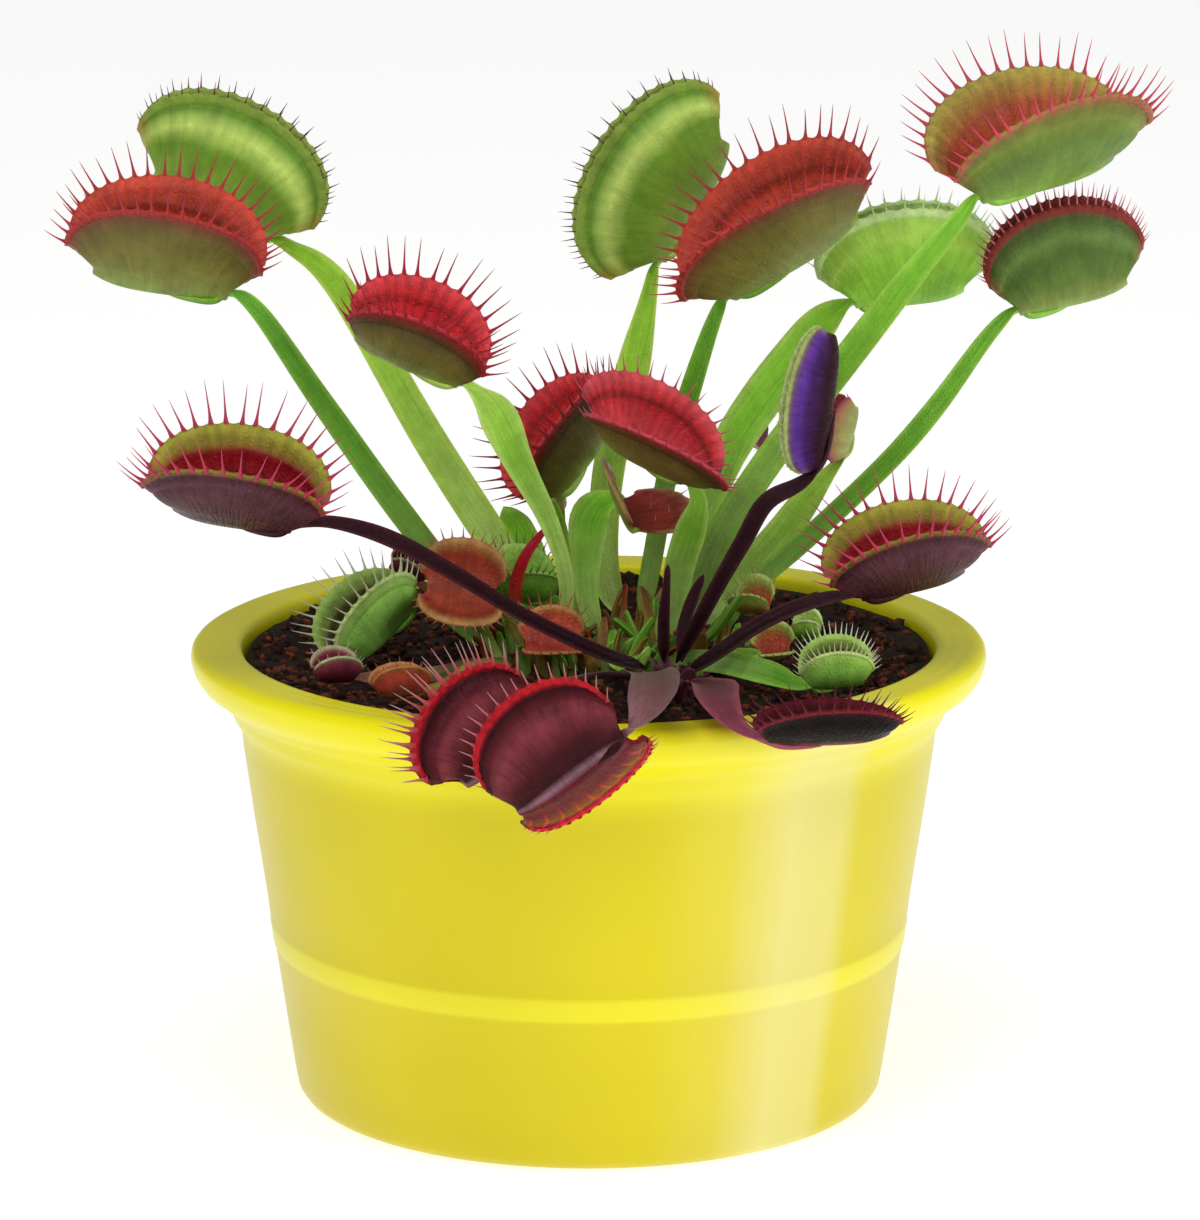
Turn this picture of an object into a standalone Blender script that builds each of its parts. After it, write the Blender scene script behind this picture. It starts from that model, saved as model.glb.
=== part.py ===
"""Potted venus flytrap: a plant of winged stalks and hinged toothed traps in a flanged round pot.

Metres, +Z up. The origin is the centre of the pot's flat foot. Every leaf is a separate
solid: its stalk and its trap grew as one piece.
"""
import math

import bmesh
import bpy
from mathutils import Vector
from mathutils import noise

MM = 0.001

# Pot: radius and height of the outer wall from the foot to the lip, then the inner wall back down.
POT_OUTER = [
    (42.0, 0.0), (43.6, 0.5), (44.6, 1.8), (44.9, 4.0), (46.3, 13.5), (47.3, 21.0), (47.7, 21.6),
    (48.1, 24.4), (47.9, 25.0), (48.6, 29.5), (50.9, 44.8), (52.3, 54.2), (52.6, 57.6), (53.6, 59.0),
    (54.3, 60.6), (54.9, 62.1), (57.0, 63.7), (58.9, 65.3), (59.8, 66.8), (60.0, 68.4), (59.4, 69.5),
    (58.4, 70.0),
]
POT_INNER = [
    (53.3, 70.0), (52.5, 69.6), (52.2, 68.8), (51.4, 62.0), (50.8, 57.0), (49.2, 44.8), (46.5, 27.0),
    (44.6, 13.0), (43.3, 3.6), (42.0, 2.2),
]
POT_SIDES = 64
DRAIN_RADIUS = 3.0
DRAIN_CIRCLE = 27.0
DRAIN_COUNT = 6

SOIL_TOP = 65.0
SOIL_BOTTOM = 2.6
SOIL_GAP = 0.5
CROWN_GREEN = (1.0, 11.0, 17.0, 13.0, 3.2)
CROWN_DARK = (12.0, -15.5, 6.0, 5.0, 2.2)

LOBE_THICK = 1.0
STALK_THICK = 1.3
NECK_T = 0.2
NECK_T_SMALL = 0.34

# Leaves. path: x, y, z and half width of the stalk from the crown to the neck of the trap.
# rib: the way the midrib runs from the neck. mouth: the way the trap opens.
# size: midrib length, margin span, lobe height. gape: degrees between the lobes.
# bulge: how far each lobe swells, as a part of its height. teeth: number on a lobe, length.
LEAVES = {
    "leaf_tall_left_back": dict(
        path=[(-7, 15, 69.6, 2.0), (-12, 19, 77, 2.6), (-24.5, 23, 96, 2.7), (-38, 26, 119, 2.2),
              (-46, 27, 125.4, 1.1), (-49, 27, 126.6, 0.8)],
        rib=(-0.88, 0.05, 0.47), mouth=(0.47, -0.15, 0.87), size=(20, 31, 18),
        gape=20, bulge=0.2, teeth=(11, 2.2), mat="green"),
    "leaf_tall_left": dict(
        path=[(-12, 7, 69.2, 1.6), (-17.5, 6, 74, 1.8), (-27, 3, 87, 1.9), (-39, -2, 105.5, 1.8),
              (-48.5, -5.5, 120.6, 1.3), (-53, -6, 124.2, 0.8)],
        rib=(-0.99, 0.0, 0.14), mouth=(0.04, -0.12, 0.98), size=(20.5, 29.5, 17),
        gape=60, bulge=0.08, teeth=(11, 5.5), mat="green"),
    "leaf_mid_left": dict(
        path=[(-4, 0.5, 69.2, 1.2), (-3.4, -4, 80, 1.2), (-6.2, -8, 90.5, 1.5), (-10.6, -11.5, 100, 2.3),
              (-13.4, -12.9, 106.8, 3.0), (-16.4, -13.8, 110.4, 1.2), (-18.6, -14, 112.2, 0.8)],
        rib=(-0.92, 0.0, 0.38), mouth=(0.38, -0.15, 0.91), size=(17, 22, 14),
        gape=80, bulge=0.12, teeth=(10, 5.0), mat="green"),
    "leaf_mid_centre": dict(
        path=[(-3.2, 15.5, 69.8, 1.2), (-3.4, 13.5, 77, 1.4), (-4.6, 10.5, 85, 1.3), (-5.6, 8, 90.2, 0.8)],
        rib=(0.60, 0.23, 0.77), mouth=(-0.78, -0.14, 0.62), size=(16, 22, 14.5),
        gape=87, bulge=0.08, teeth=(10, 5.0), mat="green"),
    "leaf_mid_right": dict(
        path=[(10.5, 1.0, 68.6, 1.6), (12.8, -2.2, 76, 2.0), (13.8, -4.5, 83, 2.3), (15.4, -6.8, 88.6, 2.4),
              (16.4, -8, 93, 1.3), (14.6, -8.4, 96.4, 0.8)],
        rib=(-0.86, -0.14, 0.49), mouth=(0.49, -0.21, 0.85), size=(15, 24.5, 13),
        gape=96, bulge=0.12, teeth=(10, 3.0), mat="green"),
    "leaf_low_centre": dict(
        path=[(1.4, 4.4, 69.2, 1.5), (-0.2, 4.4, 75, 1.7), (-0.4, 4.0, 82.6, 2.6), (0.4, 4.4, 88.4, 3.3),
              (3.0, 4.2, 90.6, 1.6), (5.0, 2.6, 91.4, 0.7)],
        rib=(0.25, -0.80, -0.50), mouth=(0.62, -0.28, 0.76), size=(7.5, 10.5, 10.5),
        gape=106, bulge=0.08, teeth=(7, 1.4), mat="green"),
    "leaf_tall_back": dict(
        path=[(4, 20, 69.2, 1.9), (2.2, 19.5, 80, 2.3), (3.2, 21, 93.2, 2.5), (6.8, 24, 107, 2.6),
              (9.2, 26, 118, 1.3), (10.4, 26.5, 123.2, 0.8)],
        rib=(0.52, 0.05, 0.85), mouth=(-0.85, -0.15, 0.52), size=(21, 33, 17.5),
        gape=20, bulge=0.2, teeth=(11, 2.2), mat="green"),
    "leaf_tall_centre": dict(
        path=[(8.0, 14, 69.8, 1.4), (10.2, 10.5, 83, 1.6), (12, 9.5, 94, 1.6), (15.4, 7.2, 107, 1.6),
              (18.6, 5, 117.4, 1.2), (20.8, 4, 122.0, 0.8)],
        rib=(0.84, -0.13, 0.53), mouth=(-0.53, -0.16, 0.83), size=(23, 33.5, 17.5),
        gape=74, bulge=0.12, teeth=(11, 5.5), mat="green"),
    "leaf_winged_right": dict(
        path=[(12.5, 17, 69.2, 1.8), (16, 15.5, 81.5, 2.2), (19, 16.5, 90, 2.7), (23, 18, 98.5, 3.2),
              (30, 19.5, 108, 3.3), (35.6, 20, 115, 2.6), (40.2, 20, 118.2, 0.8)],
        rib=(0.99, 0.08, 0.08), mouth=(-0.08, -0.2, 0.97), size=(17, 27.5, 15),
        gape=22, bulge=0.2, teeth=(11, 1.8), mat="green"),
    "leaf_tallest_right": dict(
        path=[(15.0, 9.5, 68.8, 1.8), (18, 6, 80.8, 2.2), (26, 2, 95.6, 2.3), (36.2, -1, 110, 2.3),
              (46.4, -3, 124, 2.1), (54.0, -4, 133.6, 1.4), (57.6, -4, 138.4, 0.8)],
        rib=(0.92, 0.32, 0.20), mouth=(-0.24, -0.14, 0.96), size=(22, 31.8, 19),
        gape=75, bulge=0.12, teeth=(11, 5.8), mat="green"),
    "leaf_far_right": dict(
        path=[(17.6, 15.5, 68.6, 1.4), (23, 18, 72.8, 1.5), (31, 18, 79.4, 1.6), (44.4, 15, 93, 1.6),
              (52.6, 13, 103, 1.6), (60.4, 11, 114.5, 1.2), (64.5, 10, 118.8, 0.8)],
        rib=(0.97, 0.05, 0.22), mouth=(-0.22, -0.2, 0.95), size=(17, 24, 15.4),
        gape=22, bulge=0.2, teeth=(11, 2.6), mat="green"),
    "leaf_small_right_back": dict(
        path=[(12.5, 24, 68.4, 2.0), (19, 26.5, 70.6, 2.4), (27, 28, 76.8, 2.7), (33.4, 30.5, 84.6, 2.3),
              (37.6, 32, 89.4, 1.0), (39.4, 32, 91.6, 0.7)],
        rib=(0.25, 0.1, 0.96), mouth=(-0.90, -0.35, 0.25), size=(8, 10.5, 6),
        gape=50, bulge=0.15, teeth=(7, 1.8), mat="green"),
    "leaf_bud_back": dict(
        path=[(9.0, 26, 68.2, 0.7), (16, 30, 76, 0.7), (23.5, 32, 86, 0.6), (27, 32, 93.4, 0.6)],
        rib=(0.1, 0.1, 0.98), mouth=(-0.9, -0.3, 0.1), size=(3, 4.4, 3.2),
        gape=60, bulge=0.1, teeth=(5, 1.2), mat="green"),
    "leaf_olive_bud": dict(
        path=[(-1.0, 21, 69.2, 0.8), (-3.6, 22, 77.4, 1.0), (-4.4, 22.5, 82, 0.9), (-4.2, 22.5, 85.2, 0.6)],
        rib=(0.1, 0.0, 0.99), mouth=(-0.7, -0.7, 0.1), size=(3.6, 4.8, 3.2),
        gape=25, bulge=0.2, teeth=(0, 0), mat="green"),
    "leaf_blade_left": dict(
        path=[(-6.5, 23, 68.3, 1.6), (-9, 24, 77, 2.6), (-11.5, 25, 82, 2.6), (-13.2, 25.5, 85, 0.6)],
        mat="green"),
    "leaf_blade_front": dict(
        path=[(5.5, -2.6, 67.9, 1.4), (5.6, -7.2, 69.4, 2.2), (4.8, -11.4, 69.4, 2.2), (4.4, -14.0, 68.4, 0.8)],
        mat="green", face=(0.0, -0.25, 1.0)),
    "leaf_blade_right": dict(
        path=[(16.2, 4.8, 67.6, 1.1), (19.2, -0.2, 72.0, 1.4), (21.4, -4.6, 76.2, 1.2), (22.6, -7.0, 78.4, 0.5)],
        mat="green", face=(-0.2, -0.6, 0.8)),
    "leaf_red_slender": dict(
        path=[(-7.6, 2.0, 68.6, 0.9), (-11.0, -1.0, 76.0, 1.0), (-9.8, -1.8, 82.6, 0.9), (-5.8, -0.6, 88.0, 0.4)],
        mat="red"),
    "leaf_low_left": dict(
        path=[(-14.8, 4.4, 67.4, 1.4), (-19.0, 3.2, 71.6, 1.7), (-23.6, 1.0, 75.0, 1.3), (-26.4, -1.6, 75.8, 0.8)],
        rib=(-0.68, -0.38, -0.58), mouth=(-0.66, -0.18, 0.66), size=(13.0, 17.0, 10.8),
        gape=64, bulge=0.12, teeth=(10, 3.0), mat="green"),
    "leaf_low_left_red": dict(
        path=[(-8.0, -1.8, 67.8, 1.2), (-10.4, -3.2, 72, 1.4), (-12.4, -3.8, 75.8, 1.1), (-14.2, -4.2, 77.8, 0.7)],
        rib=(-0.96, -0.05, 0.12), mouth=(0.05, -0.80, 0.50), size=(10, 13, 8.2),
        gape=105, bulge=0.1, teeth=(8, 3.0), mat="red"),
    "leaf_low_front_red": dict(
        path=[(0.4, -2.6, 67.6, 1.2), (0.2, -6.0, 70.0, 1.4), (-0.2, -8.0, 71.0, 1.0), (-1.6, -8.8, 71.4, 0.7)],
        rib=(-0.95, -0.20, 0.0), mouth=(0.05, -0.62, 0.75), size=(8.0, 10.2, 6.0),
        gape=92, bulge=0.1, teeth=(7, 2.6), mat="red"),
    "leaf_low_mid": dict(
        path=[(-6.6, 10.4, 69.4, 1.0), (-5.2, 10.0, 71.6, 1.1), (-5.0, 9.4, 73.6, 0.9), (-6.4, 8.6, 74.6, 0.7)],
        rib=(-0.94, -0.22, 0.05), mouth=(0.0, -0.22, 0.96), size=(8.6, 12, 8.4),
        gape=66, bulge=0.12, teeth=(9, 2.4), mat="green"),
    "leaf_low_purple": dict(
        path=[(-15.4, 18, 67.2, 1.2), (-21, 19.5, 71.0, 1.3), (-26.8, 19.5, 74.6, 0.6)],
        rib=(-0.80, -0.2, 0.55), mouth=(0.3, -0.35, 0.87), size=(4.6, 6.4, 4.6),
        gape=50, bulge=0.1, teeth=(6, 1.6), mat="red"),
    "leaf_low_far_left": dict(
        path=[(-15.4, 0.2, 66.8, 1.1), (-21.5, -13, 67.8, 1.2), (-29.5, -21.5, 69.2, 1.1), (-34.6, -24.4, 69.8, 0.6)],
        rib=(-0.90, -0.30, 0.05), mouth=(0.0, -0.1, 0.99), size=(5.4, 7.4, 5),
        gape=50, bulge=0.15, teeth=(6, 1.4), mat="red"),
    "leaf_low_brown": dict(
        path=[(-11.0, -2.6, 66.9, 1.1), (-17, -14, 68.8, 1.3), (-20, -25, 69.4, 1.1), (-22, -30.4, 69.8, 0.8),
              (-24.2, -32.4, 69.9, 0.6)],
        rib=(-0.95, -0.25, -0.04), mouth=(-0.1, 0.1, 0.98), size=(6.5, 9, 5),
        gape=54, bulge=0.15, teeth=(6, 1.2), mat="red"),
    "leaf_low_right_back": dict(
        path=[(17.9, 8.6, 67.4, 1.2), (20.8, 5.6, 71.6, 1.3), (23.2, 4.0, 73.6, 0.7)],
        rib=(0.62, -0.32, 0.12), mouth=(0.0, -0.30, 0.95), size=(4.4, 6.4, 5.4),
        gape=66, bulge=0.15, teeth=(7, 1.2), mat="green"),
    "leaf_low_right": dict(
        path=[(15.8, -1.6, 67.0, 1.1), (21.5, -6.4, 68.8, 1.2), (25.4, -8.6, 69.8, 0.7)],
        rib=(0.98, -0.10, 0.12), mouth=(0.0, -0.60, 0.80), size=(4.6, 6.6, 4.8),
        gape=80, bulge=0.15, teeth=(7, 1.2), mat="green"),
    "leaf_low_pale": dict(
        path=[(19.5, 10.6, 66.8, 1.0), (27, 3.6, 69.2, 1.0), (31.6, 0.4, 70.4, 0.6)],
        rib=(0.95, -0.2, 0.1), mouth=(0.0, -0.3, 0.95), size=(3.2, 4.6, 4.2),
        gape=46, bulge=0.15, teeth=(0, 0), mat="green"),
    "leaf_low_far_right": dict(
        path=[(11.2, -3.6, 67.6, 1.4), (19.5, -11.5, 69.2, 1.8), (26.6, -20.6, 69.6, 1.9), (30.2, -24.2, 69.0, 1.2),
              (32.8, -25.0, 68.8, 0.8)],
        rib=(0.98, 0.06, 0.06), mouth=(-0.05, -0.15, 0.98), size=(7.6, 11, 7.4),
        gape=46, bulge=0.15, teeth=(9, 1.6), mat="green"),
    "dark_leaf_left": dict(
        path=[(8.6, -15.8, 69.2, 1.0), (1.6, -18, 72.2, 1.1), (-9.5, -19, 78, 1.1), (-20.4, -20, 85, 1.2),
              (-30, -21, 90.4, 1.3), (-38.2, -22, 92.8, 1.0), (-43.2, -22, 92.2, 0.7)],
        rib=(-0.99, 0.07, 0.13), mouth=(0.13, -0.22, 0.97), size=(18, 27, 14.5),
        gape=67, bulge=0.12, teeth=(11, 5.6), mat="dark"),
    "dark_leaf_upright": dict(
        path=[(12.9, -14.3, 69.4, 0.9), (16.4, -15.6, 76.4, 1.1), (19.6, -16, 82.6, 1.2), (22.8, -16, 88.4, 1.3),
              (26.2, -16.8, 94.6, 1.4), (30.8, -17, 97.2, 1.1), (33.6, -17, 99.6, 0.7)],
        rib=(0.15, 0.0, 0.98), mouth=(-0.95, -0.30, 0.12), size=(20.5, 22, 7.4),
        gape=20, bulge=0.18, teeth=(11, 0.8), mat="dark"),
    "dark_leaf_right": dict(
        path=[(14.6, -16.6, 68.8, 0.9), (19, -17, 71.8, 1.1), (26, -17, 76.6, 1.2), (33.6, -17, 79.8, 1.1),
              (40.0, -17, 80.8, 0.7)],
        rib=(0.97, 0.10, 0.20), mouth=(-0.20, -0.10, 0.97), size=(16, 24.5, 13.5),
        gape=75, bulge=0.12, teeth=(11, 5.2), mat="dark"),
    "dark_leaf_front_left": dict(
        path=[(8.8, -18.2, 68.2, 0.7), (3.4, -30, 72.0, 1.1), (-1.2, -46, 75.4, 1.2), (-5.0, -57, 77.0, 1.0),
              (-7.0, -61.4, 76.0, 0.8), (-8.4, -62.6, 73.8, 0.7)],
        rib=(-0.64, -0.35, -0.69), mouth=(-0.74, 0.10, 0.60), size=(13.6, 20.0, 12.2),
        gape=24, bulge=0.2, teeth=(10, 4.2), mat="dark", face=(-0.2, 0.1, 1.0)),
    "dark_leaf_front": dict(
        path=[(11.0, -19.8, 68.2, 1.4), (8.6, -31, 71.8, 2.6), (8.2, -46, 76.4, 3.4), (9.4, -60, 79.2, 3.5),
              (9.2, -71, 80.0, 3.5), (8.2, -77.4, 78.8, 2.8), (6.8, -79.8, 77.2, 1.5), (5.0, -80.4, 75.4, 0.8)],
        rib=(-0.78, 0.02, -0.62), mouth=(-0.32, 0.86, 0.39), size=(18.6, 21.6, 14.2),
        gape=116, bulge=0.14, teeth=(11, 2.6), mat="dark", face=(0.0, 0.15, 1.0)),
    "dark_leaf_front_right": dict(
        path=[(15.0, -18.6, 68.2, 1.2), (17.0, -30, 70.8, 2.4), (18.2, -43, 73.6, 3.3), (18.4, -54, 74.4, 3.2),
              (20.2, -61.0, 72.8, 2.0), (22.4, -63.3, 71.4, 1.1), (25.0, -64.2, 70.5, 0.7)],
        rib=(1.0, 0.12, 0.0), mouth=(0.0, 0.08, 0.99), size=(18, 21, 7.2),
        gape=80, bulge=0.12, teeth=(11, 2.4), mat="dark", face=(0.0, 0.1, 1.0)),
    "dark_leaf_bud": dict(
        path=[(11.2, -13.2, 69.4, 1.0), (11.2, -12.6, 76, 0.9), (11.6, -12.6, 81, 0.6), (11.8, -12.8, 84.4, 0.4)],
        mat="dark"),
    "dark_leaf_slender": dict(
        path=[(13.9, -12.3, 69.2, 0.8), (14.0, -10.0, 73.6, 0.9), (15.6, -9.0, 78.5, 0.9), (17.2, -9.0, 82.0, 0.4)],
        mat="dark"),
}


def clear_scene():
    """Start from an empty scene."""
    for obj in list(bpy.data.objects):
        bpy.data.objects.remove(obj, do_unlink=True)


def make_material(name, colour, rough):
    """A plain material of one colour."""
    mat = bpy.data.materials.new(name)
    mat.use_nodes = True
    shader = mat.node_tree.nodes["Principled BSDF"]
    shader.inputs["Base Color"].default_value = (*colour, 1.0)
    shader.inputs["Roughness"].default_value = rough
    return mat


def add_object(name, mesh, mat):
    """Put a mesh in a collection of its own, named for the piece."""
    mesh.materials.append(mat)
    obj = bpy.data.objects.new(name, mesh)
    group = bpy.data.collections.new(name)
    bpy.context.scene.collection.children.link(group)
    group.objects.link(obj)
    return obj


def spun_profile(name, profile, mat, sides):
    """A round body: the profile turned about Z."""
    bm = bmesh.new()
    verts = [bm.verts.new((r * MM, 0.0, z * MM)) for r, z in profile]
    edges = [bm.edges.new(pair) for pair in zip(verts, verts[1:])]
    bmesh.ops.spin(bm, geom=verts + edges, axis=(0, 0, 1), cent=(0, 0, 0), steps=sides,
                   angle=2 * math.pi, use_merge=True)
    bmesh.ops.remove_doubles(bm, verts=bm.verts, dist=0.00002)
    rims = [e for e in bm.edges if e.is_boundary]
    if rims:
        bmesh.ops.holes_fill(bm, edges=rims, sides=0)
    bmesh.ops.recalc_face_normals(bm, faces=bm.faces)
    mesh = bpy.data.meshes.new(name)
    bm.to_mesh(mesh)
    bm.free()
    return add_object(name, mesh, mat)


def drain_cutter(index):
    """A round cutter for one drain hole in the foot."""
    angle = 2 * math.pi * (index + 0.5) / DRAIN_COUNT
    bm = bmesh.new()
    bmesh.ops.create_cone(bm, cap_ends=True, cap_tris=False, segments=24, radius1=DRAIN_RADIUS * MM,
                          radius2=DRAIN_RADIUS * MM, depth=0.012)
    spot = Vector((math.cos(angle), math.sin(angle), 0.0)) * DRAIN_CIRCLE * MM
    bmesh.ops.translate(bm, verts=bm.verts, vec=spot)
    mesh = bpy.data.meshes.new("drain_cutter_%d" % index)
    bm.to_mesh(mesh)
    bm.free()
    obj = bpy.data.objects.new(mesh.name, mesh)
    obj.hide_render = True
    obj.display_type = "WIRE"
    return obj


def make_pot(mat):
    """The pot: flanged lip, tapering wall with a band, flat foot with drain holes."""
    pot = spun_profile("pot", POT_OUTER + POT_INNER, mat, POT_SIDES)
    cutters = bpy.data.collections.new("cutters")
    bpy.context.scene.collection.children.link(cutters)
    for index in range(DRAIN_COUNT):
        cutter = drain_cutter(index)
        cutters.objects.link(cutter)
        cut = pot.modifiers.new("drain_%d" % index, "BOOLEAN")
        cut.operation = "DIFFERENCE"
        cut.solver = "EXACT"
        cut.object = cutter
    return pot


def inner_radius(z):
    """Radius of the pot's inner wall at a height."""
    wall = sorted(POT_INNER, key=lambda p: p[1])
    for (r0, z0), (r1, z1) in zip(wall, wall[1:]):
        if z0 <= z <= z1:
            return r0 + (r1 - r0) * (z - z0) / (z1 - z0)
    return wall[-1][0]


def make_soil(mat):
    """The root ball and its lumpy top."""
    gap = SOIL_GAP
    side = [(inner_radius(z) - gap, z) for z in (4.0, 13.0, 27.0, 44.8, 57.0, SOIL_TOP - 0.8)]
    top = [(r, SOIL_TOP) for r in (48.0, 40.0, 31.0, 21.0, 10.0, 3.0)]
    soil = spun_profile("soil", [(40.8, SOIL_BOTTOM)] + side + top, mat, 40)
    for vert in soil.data.vertices:
        radius = math.hypot(vert.co.x, vert.co.y) / MM
        if vert.co.z > (SOIL_TOP - 0.1) * MM and 22.0 < radius < 47.0:
            lump = noise.noise(Vector((vert.co.x, vert.co.y, 0.0)) * 130.0)
            vert.co.z += (0.9 * lump - 0.2) * MM
    return soil


def make_crown(name, place, mat):
    """A low rounded crown that the leaves spring from."""
    x, y, rx, ry, height = place
    bm = bmesh.new()
    bmesh.ops.create_uvsphere(bm, u_segments=20, v_segments=10, radius=1.0)
    low = [v for v in bm.verts if v.co.z < -0.001]
    bmesh.ops.delete(bm, geom=low, context="VERTS")
    bmesh.ops.holes_fill(bm, edges=[e for e in bm.edges if e.is_boundary], sides=0)
    bmesh.ops.scale(bm, verts=bm.verts, vec=(rx * MM, ry * MM, height * MM))
    bmesh.ops.translate(bm, verts=bm.verts, vec=(x * MM, y * MM, (SOIL_TOP + 0.3) * MM))
    bmesh.ops.recalc_face_normals(bm, faces=bm.faces)
    mesh = bpy.data.meshes.new(name)
    bm.to_mesh(mesh)
    bm.free()
    return add_object(name, mesh, mat)


def smooth_path(points, u):
    """A point on the smooth curve through a list of points, u from 0 to 1."""
    count = len(points) - 1
    i = min(int(u * count), count - 1)
    f = u * count - i
    p1 = points[i]
    p2 = points[i + 1]
    p0 = points[i - 1] if i > 0 else [2 * a - b for a, b in zip(p1, p2)]
    p3 = points[i + 2] if i + 2 <= count else [2 * b - a for a, b in zip(p1, p2)]
    out = []
    for a, b, c, d in zip(p0, p1, p2, p3):
        out.append(0.5 * (2 * b + (c - a) * f + (2 * a - 5 * b + 4 * c - d) * f * f
                          + (3 * b - a - 3 * c + d) * f * f * f))
    return out


def trap_frame(leaf):
    """Midrib, mouth and side directions of a trap, square to each other."""
    rib = Vector(leaf["rib"]).normalized()
    mouth = Vector(leaf["mouth"])
    mouth = (mouth - rib * mouth.dot(rib)).normalized()
    return rib, mouth, rib.cross(mouth)


def trap_point(leaf, s, t):
    """A point of the trap. s runs 0 to 1 along the midrib, t from -1 to 1 across both lobes."""
    rib, mouth, side = trap_frame(leaf)
    length, span, height = leaf["size"]
    neck = Vector(leaf["path"][-1][:3])
    a = 2.0 * s - 1.0
    turn = a * math.pi / 2
    reach = abs(t)
    corner = 0.28
    edge = height * (corner + (1.0 - corner) * max(math.cos(turn), 0.0) ** 0.8)
    along = a * length / 2
    along += (span / 2 * math.sin(turn) - along) * reach ** 1.35
    up = edge * reach
    half = math.radians(leaf["gape"]) / 2
    swell = leaf["bulge"] * height * math.sin(math.pi * reach ** 0.8) * (1.0 - 0.45 * a * a)
    out = up * math.sin(half) + swell * math.cos(half)
    rise = up * math.cos(half) - swell * math.sin(half)
    bow = 0.03 * length * (a * a - 1.0)
    sign = 1.0 if t > 0 else -1.0
    return neck + rib * (length / 2 + along) + mouth * (rise + bow) + side * sign * out


def stalk_point(leaf, u, across):
    """A point of the stalk. u runs 0 to 1 up it, across from -1 to 1."""
    points = leaf["path"]
    here = smooth_path(points, u)
    tangent = Vector(smooth_path(points, min(u + 0.02, 1.0))[:3])
    tangent = (tangent - Vector(smooth_path(points, max(u - 0.02, 0.0))[:3])).normalized()
    face = Vector(leaf.get("face", (0.0, -1.0, 0.35)))
    if "rib" in leaf:
        blend = min(max((u - 0.6) / 0.4, 0.0), 1.0)
        face = face.lerp(trap_frame(leaf)[1], blend * blend * (3 - 2 * blend))
    width = tangent.cross(face).normalized()
    face = width.cross(tangent)
    keel = 0.3 * here[3] * (1.0 - abs(across))
    return Vector(here[:3]) + width * across * here[3] - face * keel


def leaf_sheet(bm, leaf):
    """The open sheet of a leaf: a narrow strip up the stalk, joined to the trap's sheet."""
    steps = max(3 * (len(leaf["path"]) - 1) // 2 + 1, 4)
    rows = []
    last = steps if "rib" not in leaf else steps - 1
    for i in range(last + 1):
        u = i / steps
        rows.append([bm.verts.new(stalk_point(leaf, u, c) * MM) for c in (-1.0, 0.0, 1.0)])
    if "rib" in leaf:
        count = leaf["teeth"][0] or 5
        trap = []
        neck = NECK_T if leaf["size"][2] > 9 else NECK_T_SMALL
        cols = (-1.0, -0.64, -neck, 0.0, neck, 0.64, 1.0)
        for i in range(count + 1):
            trap.append([bm.verts.new(trap_point(leaf, i / count, t) * MM) for t in cols])
        rows.append(trap[0][2:5])
        join_rows(bm, trap)
    join_rows(bm, rows)
    return bm


def join_rows(bm, rows):
    """Faces between neighbouring rows of points."""
    for low, high in zip(rows, rows[1:]):
        for j in range(len(low) - 1):
            bm.faces.new((low[j], low[j + 1], high[j + 1], high[j]))


def margin_edges(bm, leaf):
    """Mid points of the two toothed margins' segments."""
    count = leaf["teeth"][0]
    side = trap_frame(leaf)[2]
    spots = []
    for sign in (-1.0, 1.0):
        for i in range(count):
            a = trap_point(leaf, i / count, sign)
            b = trap_point(leaf, (i + 1) / count, sign)
            inner = trap_point(leaf, (i + 0.5) / count, sign * 0.6)
            way = ((a + b) / 2 - inner).normalized()
            lean = way.dot(side * sign)
            way += side * sign * (max(lean, 0.12) - lean)
            spots.append(((a + b) / 2 * MM, way.normalized()))
    return spots


def grow_teeth(bm, leaf):
    """Draw each rim face of the margins out to a point."""
    if not leaf["teeth"][0]:
        return
    length = leaf["teeth"][1] * MM
    bm.faces.ensure_lookup_table()
    spots = margin_edges(bm, leaf)
    found = []
    for spot, way in spots:
        face = min(bm.faces, key=lambda f: (f.calc_center_median() - spot).length + (0 if len(f.verts) == 4 else 1))
        if face not in [f for f, _ in found]:
            found.append((face, way))
    for face, way in found:
        new = bmesh.ops.poke(bm, faces=[face], offset=0.0, center_mode="MEAN_WEIGHTED")
        new["verts"][0].co += way * length


def make_leaf(name, leaf, mats):
    """One leaf, stalk and trap in one piece."""
    bm = bmesh.new()
    leaf_sheet(bm, leaf)
    bm.normal_update()
    thick = STALK_THICK if "rib" not in leaf else min(LOBE_THICK, 0.35 + 0.05 * leaf["size"][2])
    bmesh.ops.solidify(bm, geom=bm.faces[:] + bm.verts[:] + bm.edges[:], thickness=thick * MM)
    bmesh.ops.recalc_face_normals(bm, faces=bm.faces)
    if "rib" in leaf:
        grow_teeth(bm, leaf)
    bmesh.ops.triangulate(bm, faces=bm.faces[:])
    mesh = bpy.data.meshes.new(name)
    bm.to_mesh(mesh)
    bm.free()
    return add_object(name, mesh, mats[leaf["mat"]])


def main():
    """Build every piece."""
    clear_scene()
    mats = {
        "green": make_material("leaf_green", (0.18, 0.36, 0.07), 0.45),
        "red": make_material("leaf_red", (0.45, 0.08, 0.06), 0.45),
        "dark": make_material("leaf_dark", (0.09, 0.015, 0.03), 0.4),
    }
    make_pot(make_material("pot_plastic", (0.85, 0.72, 0.03), 0.25))
    make_soil(make_material("soil", (0.03, 0.012, 0.007), 0.95))
    make_crown("green_crown", CROWN_GREEN, make_material("crown_green", (0.25, 0.38, 0.10), 0.6))
    make_crown("dark_crown", CROWN_DARK, make_material("crown_dark", (0.07, 0.02, 0.02), 0.6))
    for name, leaf in LEAVES.items():
        make_leaf(name, leaf, mats)


main()
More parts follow.
